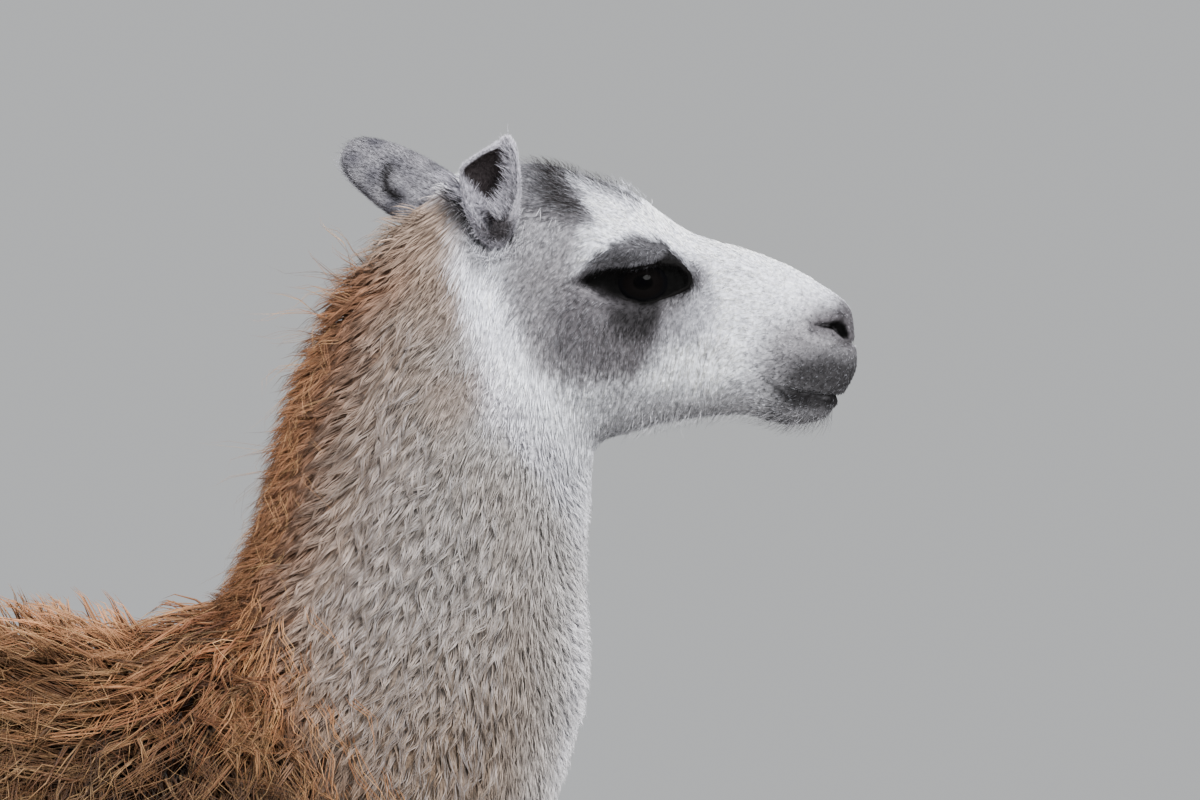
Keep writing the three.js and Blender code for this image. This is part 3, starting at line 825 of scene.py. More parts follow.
NAPE_MARKS = [
    (NAPE_BEIGE, BEHIND_CHEEK, 20, 0.5, False),
    (NAPE_BEIGE, NAPE_PATCH, 20, 0.5, False),
]


def wandering(points, scale, amount, seed):
    """A smooth uneven value from -amount to amount, made of a few waves in different directions."""
    waves = np.random.default_rng(seed).normal(size=(7, 4))
    total = np.zeros(len(points))
    for x, y, z, start in waves:
        way = np.array([x, y, z]) / np.linalg.norm([x, y, z])
        total += np.sin(points @ way * (2 * np.pi / scale) * (0.7 + abs(x)) + start * 7.0)
    return total * (amount / 4.0)


def patch(outline, ahead, up, soft):
    """1 inside an outline and 0 outside it, across an edge that is soft millimetres wide."""
    return 1.0 - smooth_step(from_outline(outline, ahead, up), -soft / 2, soft / 2)


def marked(colour, marks, ahead, up, side=1.0):
    """The colour under its marks, one after the other."""
    for tint, outline, soft, strength, on_side in marks:
        share = patch(outline, ahead, up, soft) * strength
        colour = mixed(colour, tint, share * side if on_side else share)
    return colour


def head_colour(ahead, out, up, side):
    """White, with grey cheeks and muzzle, a dark crown and black round the eyes. Painted light brightens the
    lower face, and painted shade darkens the jaw's underside, the hollows by the eye's inner corner, the fold
    above the nostril, the nostrils, the groove of the mouth and the lower lip under the upper; the dark under
    the eye is partly painted shade.
    """
    wing = smooth_step(out, 8, 18)
    # Painted light: the white of the lower face is made brighter.
    colour = mixed(WHITE, LIT_CHEEK_WHITE, smooth_step(-up, 36, 70) * 0.9)
    # Painted shade: grey on the underside of the jaw, towards its back and towards its front.
    colour = mixed(colour, JAW_SHADE_GREY, smooth_step(-up, 66, 98) * smooth_step(ahead, -110, 10) * 0.85)
    colour = mixed(colour, JAW_SHADE_GREY, smooth_step(-up, 64, 88) * smooth_step(ahead, 40, 80) * 0.6)
    colour = marked(colour, CHEEK_MARKS, ahead, up, side)
    # Painted shade: grey in the hollows before and below the inner corner of the eye, darker at the top.
    inner = patch(INNER_HOLLOW_SHADE, ahead, up, 18) * side * (0.6 + 0.3 * smooth_step(up, -10, 6))
    colour = marked(mixed(colour, GREY, inner), EYE_MARKS, ahead, up, side)
    lid = 1.0 - smooth_step(from_outline(LID_LINE, ahead, up), 0.0, 3.6)
    colour = mixed(colour, LID_BLACK, lid * side)
    colour = mixed(colour, GREY, patch(CROWN_PATCH, ahead, up, 12) * 0.85)
    core = patch(CROWN_CORE, ahead, up, 18) * (0.9 - 0.5 * smooth_step(-ahead, 70, 96))
    colour = mixed(colour, CROWN, core)
    streak, _ = from_line(CROWN_STREAK, ahead, up)
    colour = mixed(colour, CROWN, falling_off(streak, 9.5) * 0.9)
    colour = marked(colour, MUZZLE_MARKS, ahead, up, side)
    hole = from_outline(NOSTRIL, ahead, up)
    colour = mixed(colour, GREY, (1.0 - smooth_step(hole, 2.0, 12.0)) * wing * 0.8)
    # Painted shade: black inside the nostril's pocket, where the opening is deep.
    colour = mixed(colour, LID_BLACK, (1.0 - smooth_step(hole, -1.5, 1.0)) * wing)
    # Painted shade: a dark line in the fold above the nostril.
    fold, _ = from_line(NOSE_FOLD_SHADE, ahead, up)
    colour = mixed(colour, SMOKE, falling_off(fold, 3.5) * wing * 0.85)
    # Painted shadow: the upper lip's shadow, dark on the top of the lower lip.
    colour = mixed(colour, SOOT, patch(LOWER_LIP_SHADOW, ahead, up, 7) * 0.75)
    # Painted shade: a dark line along the groove of the mouth.
    mouth, _ = from_line(MOUTH, ahead, up)
    return mixed(colour, SOOT, falling_off(mouth, 3.0) * smooth_step(ahead, 92, 104) * 0.85)


def neck_colour(ahead, up, behind):
    """White under the cheek, then grey wool that turns beige, and rust along the crest."""
    crest = ahead - line_at(CREST, up)
    colour = mixed(NECK_GREY, NECK_FRONT, smooth_step(behind, -50, 20))
    white = smooth_step(behind, -12, 12) * (1.0 - 0.4 * smooth_step(-up, 110, 210))
    colour = mixed(colour, NECK_WHITE, white)
    colour = mixed(colour, NECK_LOW, smooth_step(-up, 180, 390) * (1.0 - smooth_step(behind, -80, 26)) * 0.9)
    colour = mixed(colour, NAPE_BEIGE, (1.0 - smooth_step(crest, 40, 170)) * 0.9)
    colour = mixed(colour, RUST, (1.0 - smooth_step(crest, 22, 84)) * smooth_step(-up, -44, 0) * 0.95)
    return marked(colour, NAPE_MARKS, ahead, up)


def wool_colour(points, ahead, up):
    """Rusty brown on the trunk, paler on the back, darker low on the shoulder, and off-white below."""
    colour = mixed(WOOL, WOOL_DARK, 0.5 + wandering(points, 0.16, 0.5, 12))
    tangled = falling_off(ahead + 338, 34) * falling_off(up + 300, 60)
    colour = mixed(colour, TANGLE, 0.75 * tangled)
    colour = mixed(colour, WOOL_PALE, smooth_step(up, -340, -285) * smooth_step(-ahead, 350, 410) * 0.85)
    colour = mixed(colour, WOOL_SHADE, smooth_step(-up, 305, 375) * 0.9)
    return mixed(colour, BELLY, smooth_step(-up, 800, 900) * 0.75)


def coat_colour(points):
    """The colour of the coat at each place, in linear light."""
    ahead, out, up = places(points)
    ahead = ahead + wandering(points, 0.034, 3.0, 5) + wandering(points, 0.011, 1.4, 6)
    up = up + wandering(points, 0.03, 3.0, 7) + wandering(points, 0.012, 1.4, 8)
    side = smooth_step(out, 12, 34)
    behind = ahead - line_at(WHITE_LINE, up)
    on_head = smooth_step(of_head(ahead, up), -50, -12) * smooth_step(behind, -16, 8)
    on_head = np.maximum(on_head, smooth_step(up + 0.8 * (ahead + 135), 40, 80))
    colour = mixed(neck_colour(ahead, up, behind), head_colour(ahead, out, up, side), on_head)
    # Painted shade: a dark line in the crease behind the ears.
    crease_shade, _ = from_line(EAR_CREASE_SHADE, ahead + 4, up + 5)
    colour = mixed(colour, SMOKE, falling_off(crease_shade, 5.0) * side * 0.85)
    # Painted shade: grey under the jaw, on the top of the throat.
    shade_below_jaw = smooth_step(-up, 78, 116) * (1.0 - smooth_step(-up, 180, 250)) * smooth_step(behind, -10, 20)
    colour = mixed(colour, JAW_SHADE_GREY, shade_below_jaw * (1.0 - smooth_step(ahead, 60, 90)) * 0.4)
    on_trunk = 1.0 - smooth_step(ahead - line_at(BROWN_LINE, up), -34, 26)
    on_trunk *= smooth_step(-up, 170, 215)
    colour = mixed(colour, wool_colour(points, ahead, up), on_trunk)
    height = up - FLOOR_UP
    leg = mixed(FOOT_WHITE, LEG_TAN, smooth_step(height, 90, 420))
    leg = mixed(leg, WOOL, smooth_step(height, 470, 640) * 0.8)
    return mixed(colour, leg, of_legs(ahead, out, up))


def ear_colour(points, normals, name):
    """Pale outside and near black in the hollow. The far ear is a darker copy, with a dark line on its fold,
    both painted shade.
    """
    shape = EARS[name]
    out_axis, across_axis, _ = ear_axes(shape)
    ahead, _, up = places(points)
    forward, across, height = from_ear_root(points, name)
    ahead_half, behind_half, deep = eased(shape["stations"], np.clip(height, 0, 1)).T
    across = (across - (ahead_half - behind_half) / 2) / np.maximum((ahead_half + behind_half) / 2, 1)
    facing = (normals @ out_axis) * forward / np.maximum(deep, 1) + (normals @ across_axis) * across
    in_hollow = (1.0 - smooth_step(facing, -0.25, 0.05)) * (1.0 - smooth_step(height, 0.88, 0.94))
    # Painted shade: the far ear gets the darker copy of the pale colour.
    plain = EAR_PALE if name == "ear_right" else FAR_EAR_SHADED
    colour = mixed(plain, SOFT_GREY, 0.15 + wandering(points, 0.03, 0.15, 31))
    colour = mixed(colour, EAR_HOLLOW, in_hollow)
    if name == "ear_right":
        colour = mixed(colour, EAR_PALE, patch(EAR_FLAP, ahead, up, 7) * 0.9)
        return mixed(colour, EAR_HOLLOW, patch(EAR_HOOK, ahead, up, 7) * 0.9)
    # Painted shade: a dark line along the fold of the far ear.
    fold, _ = from_line(LEFT_EAR_FOLD_SHADE, ahead, up)
    return mixed(colour, SOOT, falling_off(fold, 4.5) * (1.0 - in_hollow))


# ---------------------------------------------------------------- how the coat lies


def lie_of_coat(points, normals):
    """Which way the hair lies at each place, along the skin."""
    ahead, out, up = places(points)
    upright = np.clip(normals[:, 2], 0, 1)

    def turned(way, x, y, z, share):
        return mixed(way, towards(points, x, y, z), share)

    # The head: back along the nose and forehead, down the cheeks, slanting at the temples.
    face = towards(points, -0.62, 0.05, -0.78)
    face = turned(face, -0.2, 0.0, -1.0, smooth_step(-up, 10, 50) * (1.0 - smooth_step(ahead, 30, 80)))
    face = turned(face, -1.0, 0.05, -0.12, smooth_step(ahead, 50, 90))
    face = turned(face, -0.75, 0.12, -0.62, smooth_step(ahead, 120, 150) * smooth_step(-up, 44, 66))
    face = turned(face, -1.0, 0.1, 0.3, smooth_step(upright, 0.25, 0.7))
    # The neck: slanting back on its sides, straight down in front, back off the nape.
    neck = towards(points, -0.42, 0.05, -0.9)
    neck = turned(neck, -0.08, 0.0, -1.0, smooth_step(ahead - line_at(WHITE_LINE, up), -30, 20))
    neck = turned(neck, -0.95, 0.15, -0.3, 1.0 - smooth_step(ahead - line_at(CREST, up), 10, 90))
    # The trunk: parted at the withers, forward and down over the shoulder, back and down behind it.
    trunk = towards(points, -0.5, 0.25, -0.86)
    trunk = turned(trunk, -0.9, 0.45, -0.2, smooth_step(upright, 0.35, 0.85))
    trunk = turned(trunk, 0.42, 0.2, -0.9, smooth_step(ahead, -420, -330))
    trunk = turned(trunk, -0.1, 0.0, -1.0, smooth_step(ahead, -240, -170))

    on_legs = of_legs(ahead, out, up)
    way = mixed(trunk, neck, smooth_step(of_neck(ahead, up), -40, 20))
    way = mixed(way, face, smooth_step(of_head(ahead, up), -20, 40))
    way = turned(way, -0.12, 0.0, -1.0, on_legs)
    way = turned(way, -0.35, 0.1, -0.95, smooth_step(-ahead, 1090, 1130))
    on_trunk = smooth_step(-of_neck(ahead, up), -20, 60) * (1.0 - on_legs)
    swirl = wandering(points, 0.12, 0.22, 41) + wandering(points, 0.085, 0.3, 43) * on_trunk
    return along_skin(way + swirl[:, None] * np.cross(normals, way), normals)


class Ground:
    """The skin as triangles to set roots on."""

    def __init__(self, mesh):
        mesh.calc_loop_triangles()
        self.corners = array_of(mesh.loop_triangles, "vertices", 3, np.int32)
        self.loops = array_of(mesh.loop_triangles, "loops", 3, np.int32)
        self.points = points_of(mesh)
        self.normals = normals_of(mesh)
        self.unwrap = array_of(mesh.uv_layers["OFBake"].uv, "vector", 2)
        first, second, third = (self.points[self.corners[:, k]] for k in range(3))
        self.area = np.linalg.norm(np.cross(second - first, third - first), axis=1) / 2 / MM**2
        self.middles = (first + second + third) / 3

    def roots(self, weight, each, rng):
        """Places, normals and unwrap places of roots, one to each square of so many square millimetres."""
        weighed = np.cumsum(self.area * weight)
        count = int(weighed[-1] / each)
        chosen = np.searchsorted(weighed, (np.arange(count) + rng.random(count)) / count * weighed[-1])
        chosen = np.minimum(chosen, len(self.area) - 1)
        one, other = rng.random(count), rng.random(count)
        fold = one + other > 1
        one, other = np.where(fold, 1 - one, one), np.where(fold, 1 - other, other)
        parts = np.stack([1 - one - other, one, other], axis=1)[:, :, None]
        place = np.sum(self.points[self.corners[chosen]] * parts, axis=1)
        normal = unit(np.sum(self.normals[self.corners[chosen]] * parts, axis=1))
        spot = np.sum(self.unwrap[self.loops[chosen]] * parts, axis=1)
        return place, normal, spot


def down_along(normals):
    """Straight down, less what would press into the skin."""
    fall = np.tile([0.0, 0.0, -1.0], (len(normals), 1))
    into = np.minimum(np.sum(fall * normals, axis=1, keepdims=True), 0.0)
    return fall - normals * into


def at_roots(value, place):
    """A value for each root, from a number or from a function of the place."""
    return value(place) if callable(value) else np.full(len(place), float(value))


LOOPS = 7.0  # how far a curled strand turns along its length, in radians
SUNK = 0.6  # how deep a root is set in the skin, in millimetres


def locks(ground, weight, each, strands, long, wide, rise, rng, spread=2.0, gather=0.6, sag=0.1, sway=0.12,
          curl=0.0, flat=0.45, parts=2, dark=0.55, light=1.12, vary=0.12, way=lie_of_coat,
          colour=lambda place, normal: coat_colour(place), length_vary=0.25, pale=STRAW, share=0.0):
    """Tufts in locks. Each lock shares one path, and its strands start apart and gather towards their tips.

    Lengths are millimetres, and long, wide, rise and share may differ from root to root. rise is how high the
    tips stand off the skin. sag is how far they fall, sway how far they stray sideways and curl how far they
    swing, as shares of their length. Roots are darkened as painted shade deep in the coat, tips are lighter,
    and the palest tips are pale, by share.
    """
    place, normal, spot = ground.roots(weight, each, rng)
    count = len(place)
    flow = way(place, normal)
    long = at_roots(long, place) * rng.uniform(1 - length_vary, 1 + length_vary, count)
    rise = at_roots(rise, place) * rng.uniform(0.7, 1.1, count)
    wide = at_roots(wide, place)
    run = np.sqrt(np.maximum(long**2 - rise**2, (0.3 * long) ** 2))
    across = np.cross(normal, flow)
    astray = rng.normal(0, sway, count) * long
    turns = rng.uniform(0, 2 * np.pi, count)
    shade = rng.normal(1.0, vary, count)
    shade = shade + wandering(place, 0.036, 0.12, 71) + wandering(place, 0.14, 0.08, 73)
    base = colour(place, normal)

    # Every strand repeats its lock's values, with small differences of its own.
    of = np.repeat(np.arange(count), strands)
    total = len(of)

    def each_of(values):
        return values[of][:, None, :] if values.ndim > 1 else values[of][:, None, None]

    reach = rng.uniform(0.72, 1.08, total)
    angle, far = rng.uniform(0, 2 * np.pi, total), np.sqrt(rng.random(total)) * spread
    far *= strands > 1
    off = (np.cos(angle) * far)[:, None] * across[of] + (np.sin(angle) * far)[:, None] * flow[of]
    t = np.linspace(0, 1, parts + 1)[None, :, None] * reach[:, None, None]
    line = each_of(place) / MM + off[:, None, :] * (1 - gather * t)
    line = line + each_of(flow) * (each_of(run) * t)
    line = line + each_of(normal) * (each_of(rise) * (2 * t - t**2) - SUNK)
    line = line + each_of(down_along(normal)) * (sag * each_of(long) * t**2)
    line = line + each_of(across) * (each_of(astray) * t**1.6)
    if curl:
        turn = each_of(turns) + rng.normal(0, 0.25, total)[:, None, None]
        line = line + each_of(across) * (curl * each_of(long) * t * np.sin(t * LOOPS + turn))
    tint = (shade[of] * rng.normal(1.0, 0.12, total))[:, None]
    tip = mixed(base[of] * tint * light, pale, at_roots(share, place)[of] * rng.random(total) ** 2)
    # Painted shade: each root's colour is the lock's colour darkened by dark; each tip's is scaled by light.
    return {
        "line": within_room(line * MM), "normal": normal[of], "flat": flat, "spot": spot[of],
        "wide": wide[of] * rng.uniform(0.75, 1.2, total) * MM,
        "root": base[of] * tint * dark, "tip": np.minimum(tip, 1.0),
    }


ROOM = 0.006  # how far a tuft may stand outside the solids' box
PAST_ROOM = 0.15  # how much is left of what stands further out
LOWEST = 0.001  # the lowest place of a tuft above the floor


def within_room(line):
    """Keeps tufts above the floor and hardly wider than the solids."""
    for axis in range(3):
        low, high = cad_low[axis] - ROOM, cad_high[axis] + ROOM
        values = line[..., axis]
        values = np.where(values > high, high + (values - high) * PAST_ROOM, values)
        line[..., axis] = np.where(values < low, low + (values - low) * PAST_ROOM, values)
    line[..., 2] = np.maximum(line[..., 2], LOWEST)
    return line


PATCH = 0.003  # how wide a tuft's place on the unwrap is
THICKNESS = np.array([0.85, 1.0, 0.8, 0.5, 0.3])  # along a strand, root first, before its point
CORNERS = np.radians([90.0, 210.0, 330.0])  # of a strand's section


def spike_faces(rings):
    """The triangles of one strand: its root, its walls between the rings, and its point."""
    faces = [(0, 1, 2)]
    for k in range(rings - 1):
        for j in range(3):
            a, b = k * 3 + j, k * 3 + (j + 1) % 3
            faces += [(a, a + 3, b), (b, a + 3, b + 3)]
    last = (rings - 1) * 3
    faces += [(last + j, rings * 3, last + (j + 1) % 3) for j in range(3)]
    return np.array(faces)[:, ::-1]


def tuft_mesh(name, group, chosen):
    """Closed three-sided spikes along the lines, as one mesh."""
    line = group["line"][chosen]
    count, knots = line.shape[:2]
    rings = knots - 1
    tangent = unit(np.gradient(line, axis=1))
    side = unit(np.cross(tangent, group["normal"][chosen][:, None, :]))
    above = np.cross(side, tangent)
    profile = np.interp(np.linspace(0, 1, knots)[:rings], np.linspace(0, 0.8, 5), THICKNESS)
    half = (group["wide"][chosen][:, None] / 2 * profile[None, :])[:, :, None]
    ring = (line[:, :rings, None, :]
            + side[:, :rings, None, :] * (half * np.cos(CORNERS))[..., None]
            + above[:, :rings, None, :] * (half * np.sin(CORNERS) * group["flat"])[..., None])
    points = np.concatenate([ring.reshape(count, rings * 3, 3), line[:, -1:, :]], axis=1)
    per = rings * 3 + 1
    triangles = (spike_faces(rings)[None] + (np.arange(count) * per)[:, None, None]).reshape(-1, 3)

    share = np.concatenate([np.repeat(np.arange(rings) / rings, 3), [1.0]])
    colours = mixed(group["root"][chosen][:, None, :], group["tip"][chosen][:, None, :], share)
    across = np.concatenate([np.tile(np.cos(CORNERS), rings), [0.0]]) * PATCH / 2
    offset = np.stack([across, (share - 0.5) * PATCH], axis=1)
    spots = np.clip(group["spot"][chosen], PATCH, 1 - PATCH)[:, None, :] + offset[None]

    mesh = bpy.data.meshes.new(name)
    mesh.vertices.add(count * per)
    mesh.loops.add(len(triangles) * 3)
    mesh.polygons.add(len(triangles))
    mesh.vertices.foreach_set("co", points.astype(np.float32).ravel())
    mesh.loops.foreach_set("vertex_index", triangles.astype(np.int32).ravel())
    mesh.polygons.foreach_set("loop_start", np.arange(0, len(triangles) * 3, 3, dtype=np.int32))
    mesh.update(calc_edges=True)
    unwrap = mesh.uv_layers.new(name="OFBake")
    unwrap.uv.foreach_set("vector", spots.reshape(-1, 2)[triangles.ravel()].astype(np.float32).ravel())
    add_markings(mesh, colours.reshape(-1, 3))
    mesh.shade_smooth()
    return mesh


def add_markings(mesh, colours):
    layer = mesh.color_attributes.new(name="Markings", type="FLOAT_COLOR", domain="POINT")
    solid = np.concatenate([np.clip(colours, 0, 1), np.ones((len(colours), 1))], axis=1)
    layer.data.foreach_set("color", solid.astype(np.float32).ravel())


MOST_TRIANGLES = 190_000  # in one piece of the coat


def coat_pieces(name, groups):
    """One or more meshes of tufts, each small enough, cut from front to back."""
    made = []
    for group in groups:
        each = 6 * (group["line"].shape[1] - 1) - 2
        order = np.argsort(group["line"][:, 0, 0])
        for part in np.array_split(order, math.ceil(len(order) * each / MOST_TRIANGLES)):
            made.append(tuft_mesh(f"{name}_{len(made) + 1}", group, part))
    return made


# ---------------------------------------------------------------- finishes


class Socket:
    """Wraps an output socket, so that shader maths reads as Python."""

    def __init__(self, shader, link):
        self.shader, self.link = shader, link

    def maths(self, operation, other, swapped=False):
        values = [other, self] if swapped else [self, other]
        return self.shader.node("ShaderNodeMath", {"operation": operation}, dict(enumerate(values)))

    def __add__(self, other):
        return self.maths("ADD", other)

    def __sub__(self, other):
        return self.maths("SUBTRACT", other)

    def __rsub__(self, other):
        return self.maths("SUBTRACT", other, swapped=True)

    def __mul__(self, other):
        return self.maths("MULTIPLY", other)

    __radd__ = __add__
    __rmul__ = __mul__


class Shader:
    """One material, built node by node."""

    def __init__(self, name, **constants):
        self.material = bpy.data.materials.new(name)
        self.material.use_nodes = True
        self.nodes = self.material.node_tree.nodes
        self.links = self.material.node_tree.links
        self.surface = self.nodes["Principled BSDF"]
        for socket, value in constants.items():
            self.surface.inputs[socket.replace("_", " ")].default_value = value

    def node(self, kind, settings=None, inputs=None, output=0):
        """Adds a node, sets it, then gives its sockets their values or links."""
        made = self.nodes.new(kind)
        for name, value in (settings or {}).items():
            if name == "stops":
                while len(made.color_ramp.elements) < len(value):
                    made.color_ramp.elements.new(0.5)
                for element, (place, colour) in zip(made.color_ramp.elements, value):
                    element.position, element.color = place, (*colour, 1.0)
            else:
                setattr(made, name, value)
        for name, value in (inputs or {}).items():
            if isinstance(value, Socket):
                self.links.new(value.link, made.inputs[name])
            else:
                made.inputs[name].default_value = value
        return Socket(self, made.outputs[output])

    def set(self, name, value):
        self.links.new(value.link, self.surface.inputs[name])

    def place(self):
        return self.node("ShaderNodeTexCoord", output="Object")

    def colour_mix(self, share, one, other):
        """Colours go through a Mix node: its factor is socket 0 and its colours are sockets 6 and 7."""
        return self.node("ShaderNodeMix", {"data_type": "RGBA"}, {0: share, 6: one, 7: other}, 2)

    def noise(self, scale, detail=3.0, rough=0.6, stretch=None):
        place = self.place()
        if stretch:
            place = self.node("ShaderNodeMapping", {}, {"Vector": place, "Scale": stretch})
        return self.node("ShaderNodeTexNoise", {}, {
            "Vector": place, "Scale": scale, "Detail": detail, "Roughness": rough,
        })

    def bump(self, height, strength, distance):
        return self.node("ShaderNodeBump", {}, {"Height": height, "Strength": strength, "Distance": distance})


def rgba(colour, alpha=1.0):
    return (*[float(v) for v in colour], alpha)


def fur_finish(name, rough, sheen, fleck, grain, gloss, mottle):
    """Hair that carries its own colour as the Markings attribute, with small flecks and a fine grain."""
    fur = Shader(name, Sheen_Weight=sheen, Sheen_Roughness=0.4, Specular_IOR_Level=gloss)
    marks = fur.node("ShaderNodeAttribute", {"attribute_name": "Markings"})
    flecks = fur.noise(fleck, 4.0, 0.7)
    shade = fur.node("ShaderNodeMapRange", {}, {
        "Value": flecks, "From Min": 0.3, "From Max": 0.7, "To Min": 1.0 - mottle, "To Max": 1.0 + mottle / 2,
    })
    tinted = fur.node("ShaderNodeVectorMath", {"operation": "SCALE"}, {0: marks, "Scale": shade})
    fur.set("Base Color", tinted)
    fine = fur.noise(grain, 2.0, 0.5)
    fur.set("Roughness", rough + (fine - 0.5) * 0.2)
    fur.set("Normal", fur.bump(fine, 0.25, 0.0006))
    return fur.material


def eye_finish():
    """A wet near-black ball: a dark brown iris that hardly shows, a level oval pupil and a bluish rim."""
    eye = Shader("eye_gloss", Roughness=0.08, IOR=1.38, Specular_IOR_Level=0.008)
    place = eye.place()
    centred = eye.node("ShaderNodeVectorMath", {"operation": "SUBTRACT"}, {0: place, 1: tuple(EYE_LEVEL)})
    flat = eye.node("ShaderNodeVectorMath", {"operation": "MULTIPLY"}, {0: centred, 1: (58.0, 0.0, 76.0)})
    far = eye.node("ShaderNodeVectorMath", {"operation": "LENGTH"}, {0: flat}, "Value")
    rings = eye.node("ShaderNodeValToRGB", {"stops": [
        (0.0, tone(1, 1, 2)), (0.42, tone(2, 2, 2)), (0.5, tone(6, 5, 5)), (0.86, tone(5, 4, 4)),
        (1.0, tone(4, 4, 5)),
    ]}, {"Fac": far})
    fibres = eye.noise(900.0, 3.0, 0.7)
    eye.set("Base Color", eye.colour_mix(fibres * 0.5, rings, rgba(tone(3, 3, 3))))
    return eye.material


def lid_finish():
    """Bare black skin, moist and finely wrinkled."""
    lid = Shader("lid_skin", Specular_IOR_Level=0.02)
    wrinkles = lid.noise(520.0, 4.0, 0.65, (1.0, 1.0, 1.8))
    lid.set("Base Color", lid.colour_mix(wrinkles, rgba(tone(2, 2, 2)), rgba(tone(10, 9, 9))))
    lid.set("Roughness", 0.55 + wrinkles * 0.25)
    lid.set("Normal", lid.bump(wrinkles, 0.35, 0.0008))
    return lid.material


def nail_finish():
    """Dark horn with growth lines across it and lighter streaks in its grain."""
    horn = Shader("nail_horn", Specular_IOR_Level=0.5)
    wave = horn.node("ShaderNodeTexWave", {"wave_type": "BANDS", "bands_direction": "X"}, {
        "Vector": horn.place(), "Scale": 90.0, "Distortion": 3.0, "Detail": 3.0, "Detail Scale": 2.0,
    })
    grain = horn.noise(160.0, 5.0, 0.6, (0.5, 2.0, 2.0))
    horn.set("Base Color", horn.colour_mix(grain, rgba(tone(44, 38, 34)), rgba(tone(104, 92, 80))))
    horn.set("Roughness", 0.38 + grain * 0.3)
    horn.set("Normal", horn.bump(wave * 0.5 + grain * 0.5, 0.4, 0.0007))
    return horn.material


def floor_finish():
    return Shader("pale_floor", Base_Color=rgba(tone(214, 213, 210)), Roughness=0.9).material


# ---------------------------------------------------------------- the whole skin, coloured


def unwrapped(mesh):
    """Lays the skin flat as islands on the OFBake map."""
    mesh.uv_layers.new(name="OFBake")
    thing = new_object("unwrapping", mesh)
    bpy.context.view_layer.objects.active = thing
    thing.select_set(True)
    bpy.ops.object.mode_set(mode="EDIT")
    bpy.ops.mesh.select_all(action="SELECT")
    bpy.ops.uv.smart_project(angle_limit=1.15, island_margin=0.004, scale_to_bounds=True)
    bpy.ops.object.mode_set(mode="OBJECT")
    bpy.data.objects.remove(thing)
    return mesh


def joined(meshes):
    """Several meshes as one, with where the vertices of each begin."""
    whole = bmesh.new()
    starts = []
    for mesh in meshes:
        starts.append(len(whole.verts))
        whole.from_mesh(mesh)
        whole.verts.ensure_lookup_table()
    result = bpy.data.meshes.new("skin")
    whole.to_mesh(result)
    whole.free()
    return result, starts


def bare_skin():
    """Flesh in one mesh: remeshed, drawn in by the coat's depth, and finer towards the eyes and lips."""
    flesh = joined_flesh()
    mesh = with_modifier(filled_eyes(flesh.copy()), "REMESH", mode="VOXEL", voxel_size=SKIN_VOXEL)
    mesh = grown_in(mesh)
    ahead, _, up = places(array_of(mesh.vertices, "co"))
    mesh = finer(mesh, (of_head(ahead, up) > -30) & (up > -150))
    mesh = true_to_solids(mesh, flesh, 2)
    ahead, out, up = places(array_of(mesh.vertices, "co"))
    eyes = (np.abs(ahead + 4) < 54) & (np.abs(up) < 34) & (out > 45)
    nose = (ahead > 126) & (out > 4) & (up < -12) & (up > -60)
    lips = (ahead > 90) & (up < -68) & (up > -102)
    mesh = finer(mesh, eyes | nose | lips)
    set_points(mesh, relaxed(points_of(mesh), edges_of(mesh), 3))
    return lidded(shaped_head(mesh))


def skin_colours(mesh, starts):
    """The coat's colours on the skin, darkened as painted shade under the hair over it, and most under the
    wool.
    """
    points, normals = points_of(mesh), normals_of(mesh)
    colours = coat_colour(points)
    for name, start, end in zip(EARS, starts[1:], [*starts[2:], len(points)]):
        colours[start:end] = ear_colour(points[start:end], normals[start:end], name)
    ahead, _, up = places(points)
    # Painted shade: the skin is darker than the hair, so the gaps between tufts read as shaded; darker still
    # under the trunk's wool.
    shade = 0.45 + 0.15 * (1.0 - smooth_step(of_head(ahead, up), -14, 14))
    shade_under_wool = smooth_step(line_at(BROWN_LINE, up) - ahead, -10, 40) * smooth_step(up - FLOOR_UP, 560, 640)
    shade *= 1.0 - 0.65 * shade_under_wool * smooth_step(-up, 170, 215)
    # Painted shade: the ears' skin is darkened too.
    shade[starts[1]:] = 0.8
    return colours * shade[:, None]


llama_mesh, starts = joined([bare_skin(), *(ear_mesh(shape) for shape in EARS.values())])
llama_mesh = unwrapped(llama_mesh)
llama_mesh.shade_smooth()
add_markings(llama_mesh, skin_colours(llama_mesh, starts))

# ---------------------------------------------------------------- where the roots are

ground = Ground(llama_mesh)
ear_of = np.searchsorted(np.array(starts[1:]), ground.corners[:, 0], side="right")  # 0 is the body
mid_ahead, mid_out, mid_up = places(ground.middles)
on_body = ear_of == 0
on_head = smooth_step(of_head(mid_ahead, mid_up), -14, 14)
on_neck = smooth_step(of_neck(mid_ahead, mid_up), -30, 10)
from_lid = from_outline(LID_LINE, mid_ahead, mid_up)
from_white = mid_ahead - line_at(WHITE_LINE, mid_up)
from_brown = mid_ahead - line_at(BROWN_LINE, mid_up)
near_side = smooth_step(-ground.middles[:, 1], -0.03, 0.03)  # the side towards the camera has the finer wool


def roots_on_face():
    """The head, less the lids, the nostrils and the line of the mouth."""
    lids = np.where(mid_out < 40, 1.0, smooth_step(from_lid, 1.5, 3.5))
    nostril = np.where(mid_out < 8, 1.0, smooth_step(from_outline(NOSTRIL, mid_ahead, mid_up), 0.5, 2.0))
    mouth, _ = from_line(MOUTH, mid_ahead, mid_up)
    lips = np.where(mid_ahead > 96, smooth_step(mouth, 1.2, 2.6), 1.0)
    return on_head * lids * nostril * lips * on_body


face_here = roots_on_face()
neck_here = (1.0 - on_head) * on_neck * on_body
legs_here = of_legs(mid_ahead, mid_out, mid_up)
trunk_here = (1.0 - on_neck) * (1.0 - on_head) * (1.0 - legs_here) * on_body
trunk_here *= 1.0 - smooth_step(-mid_ahead, 1095, 1120)
tail_here = smooth_step(-mid_ahead, 1090, 1115) * on_body


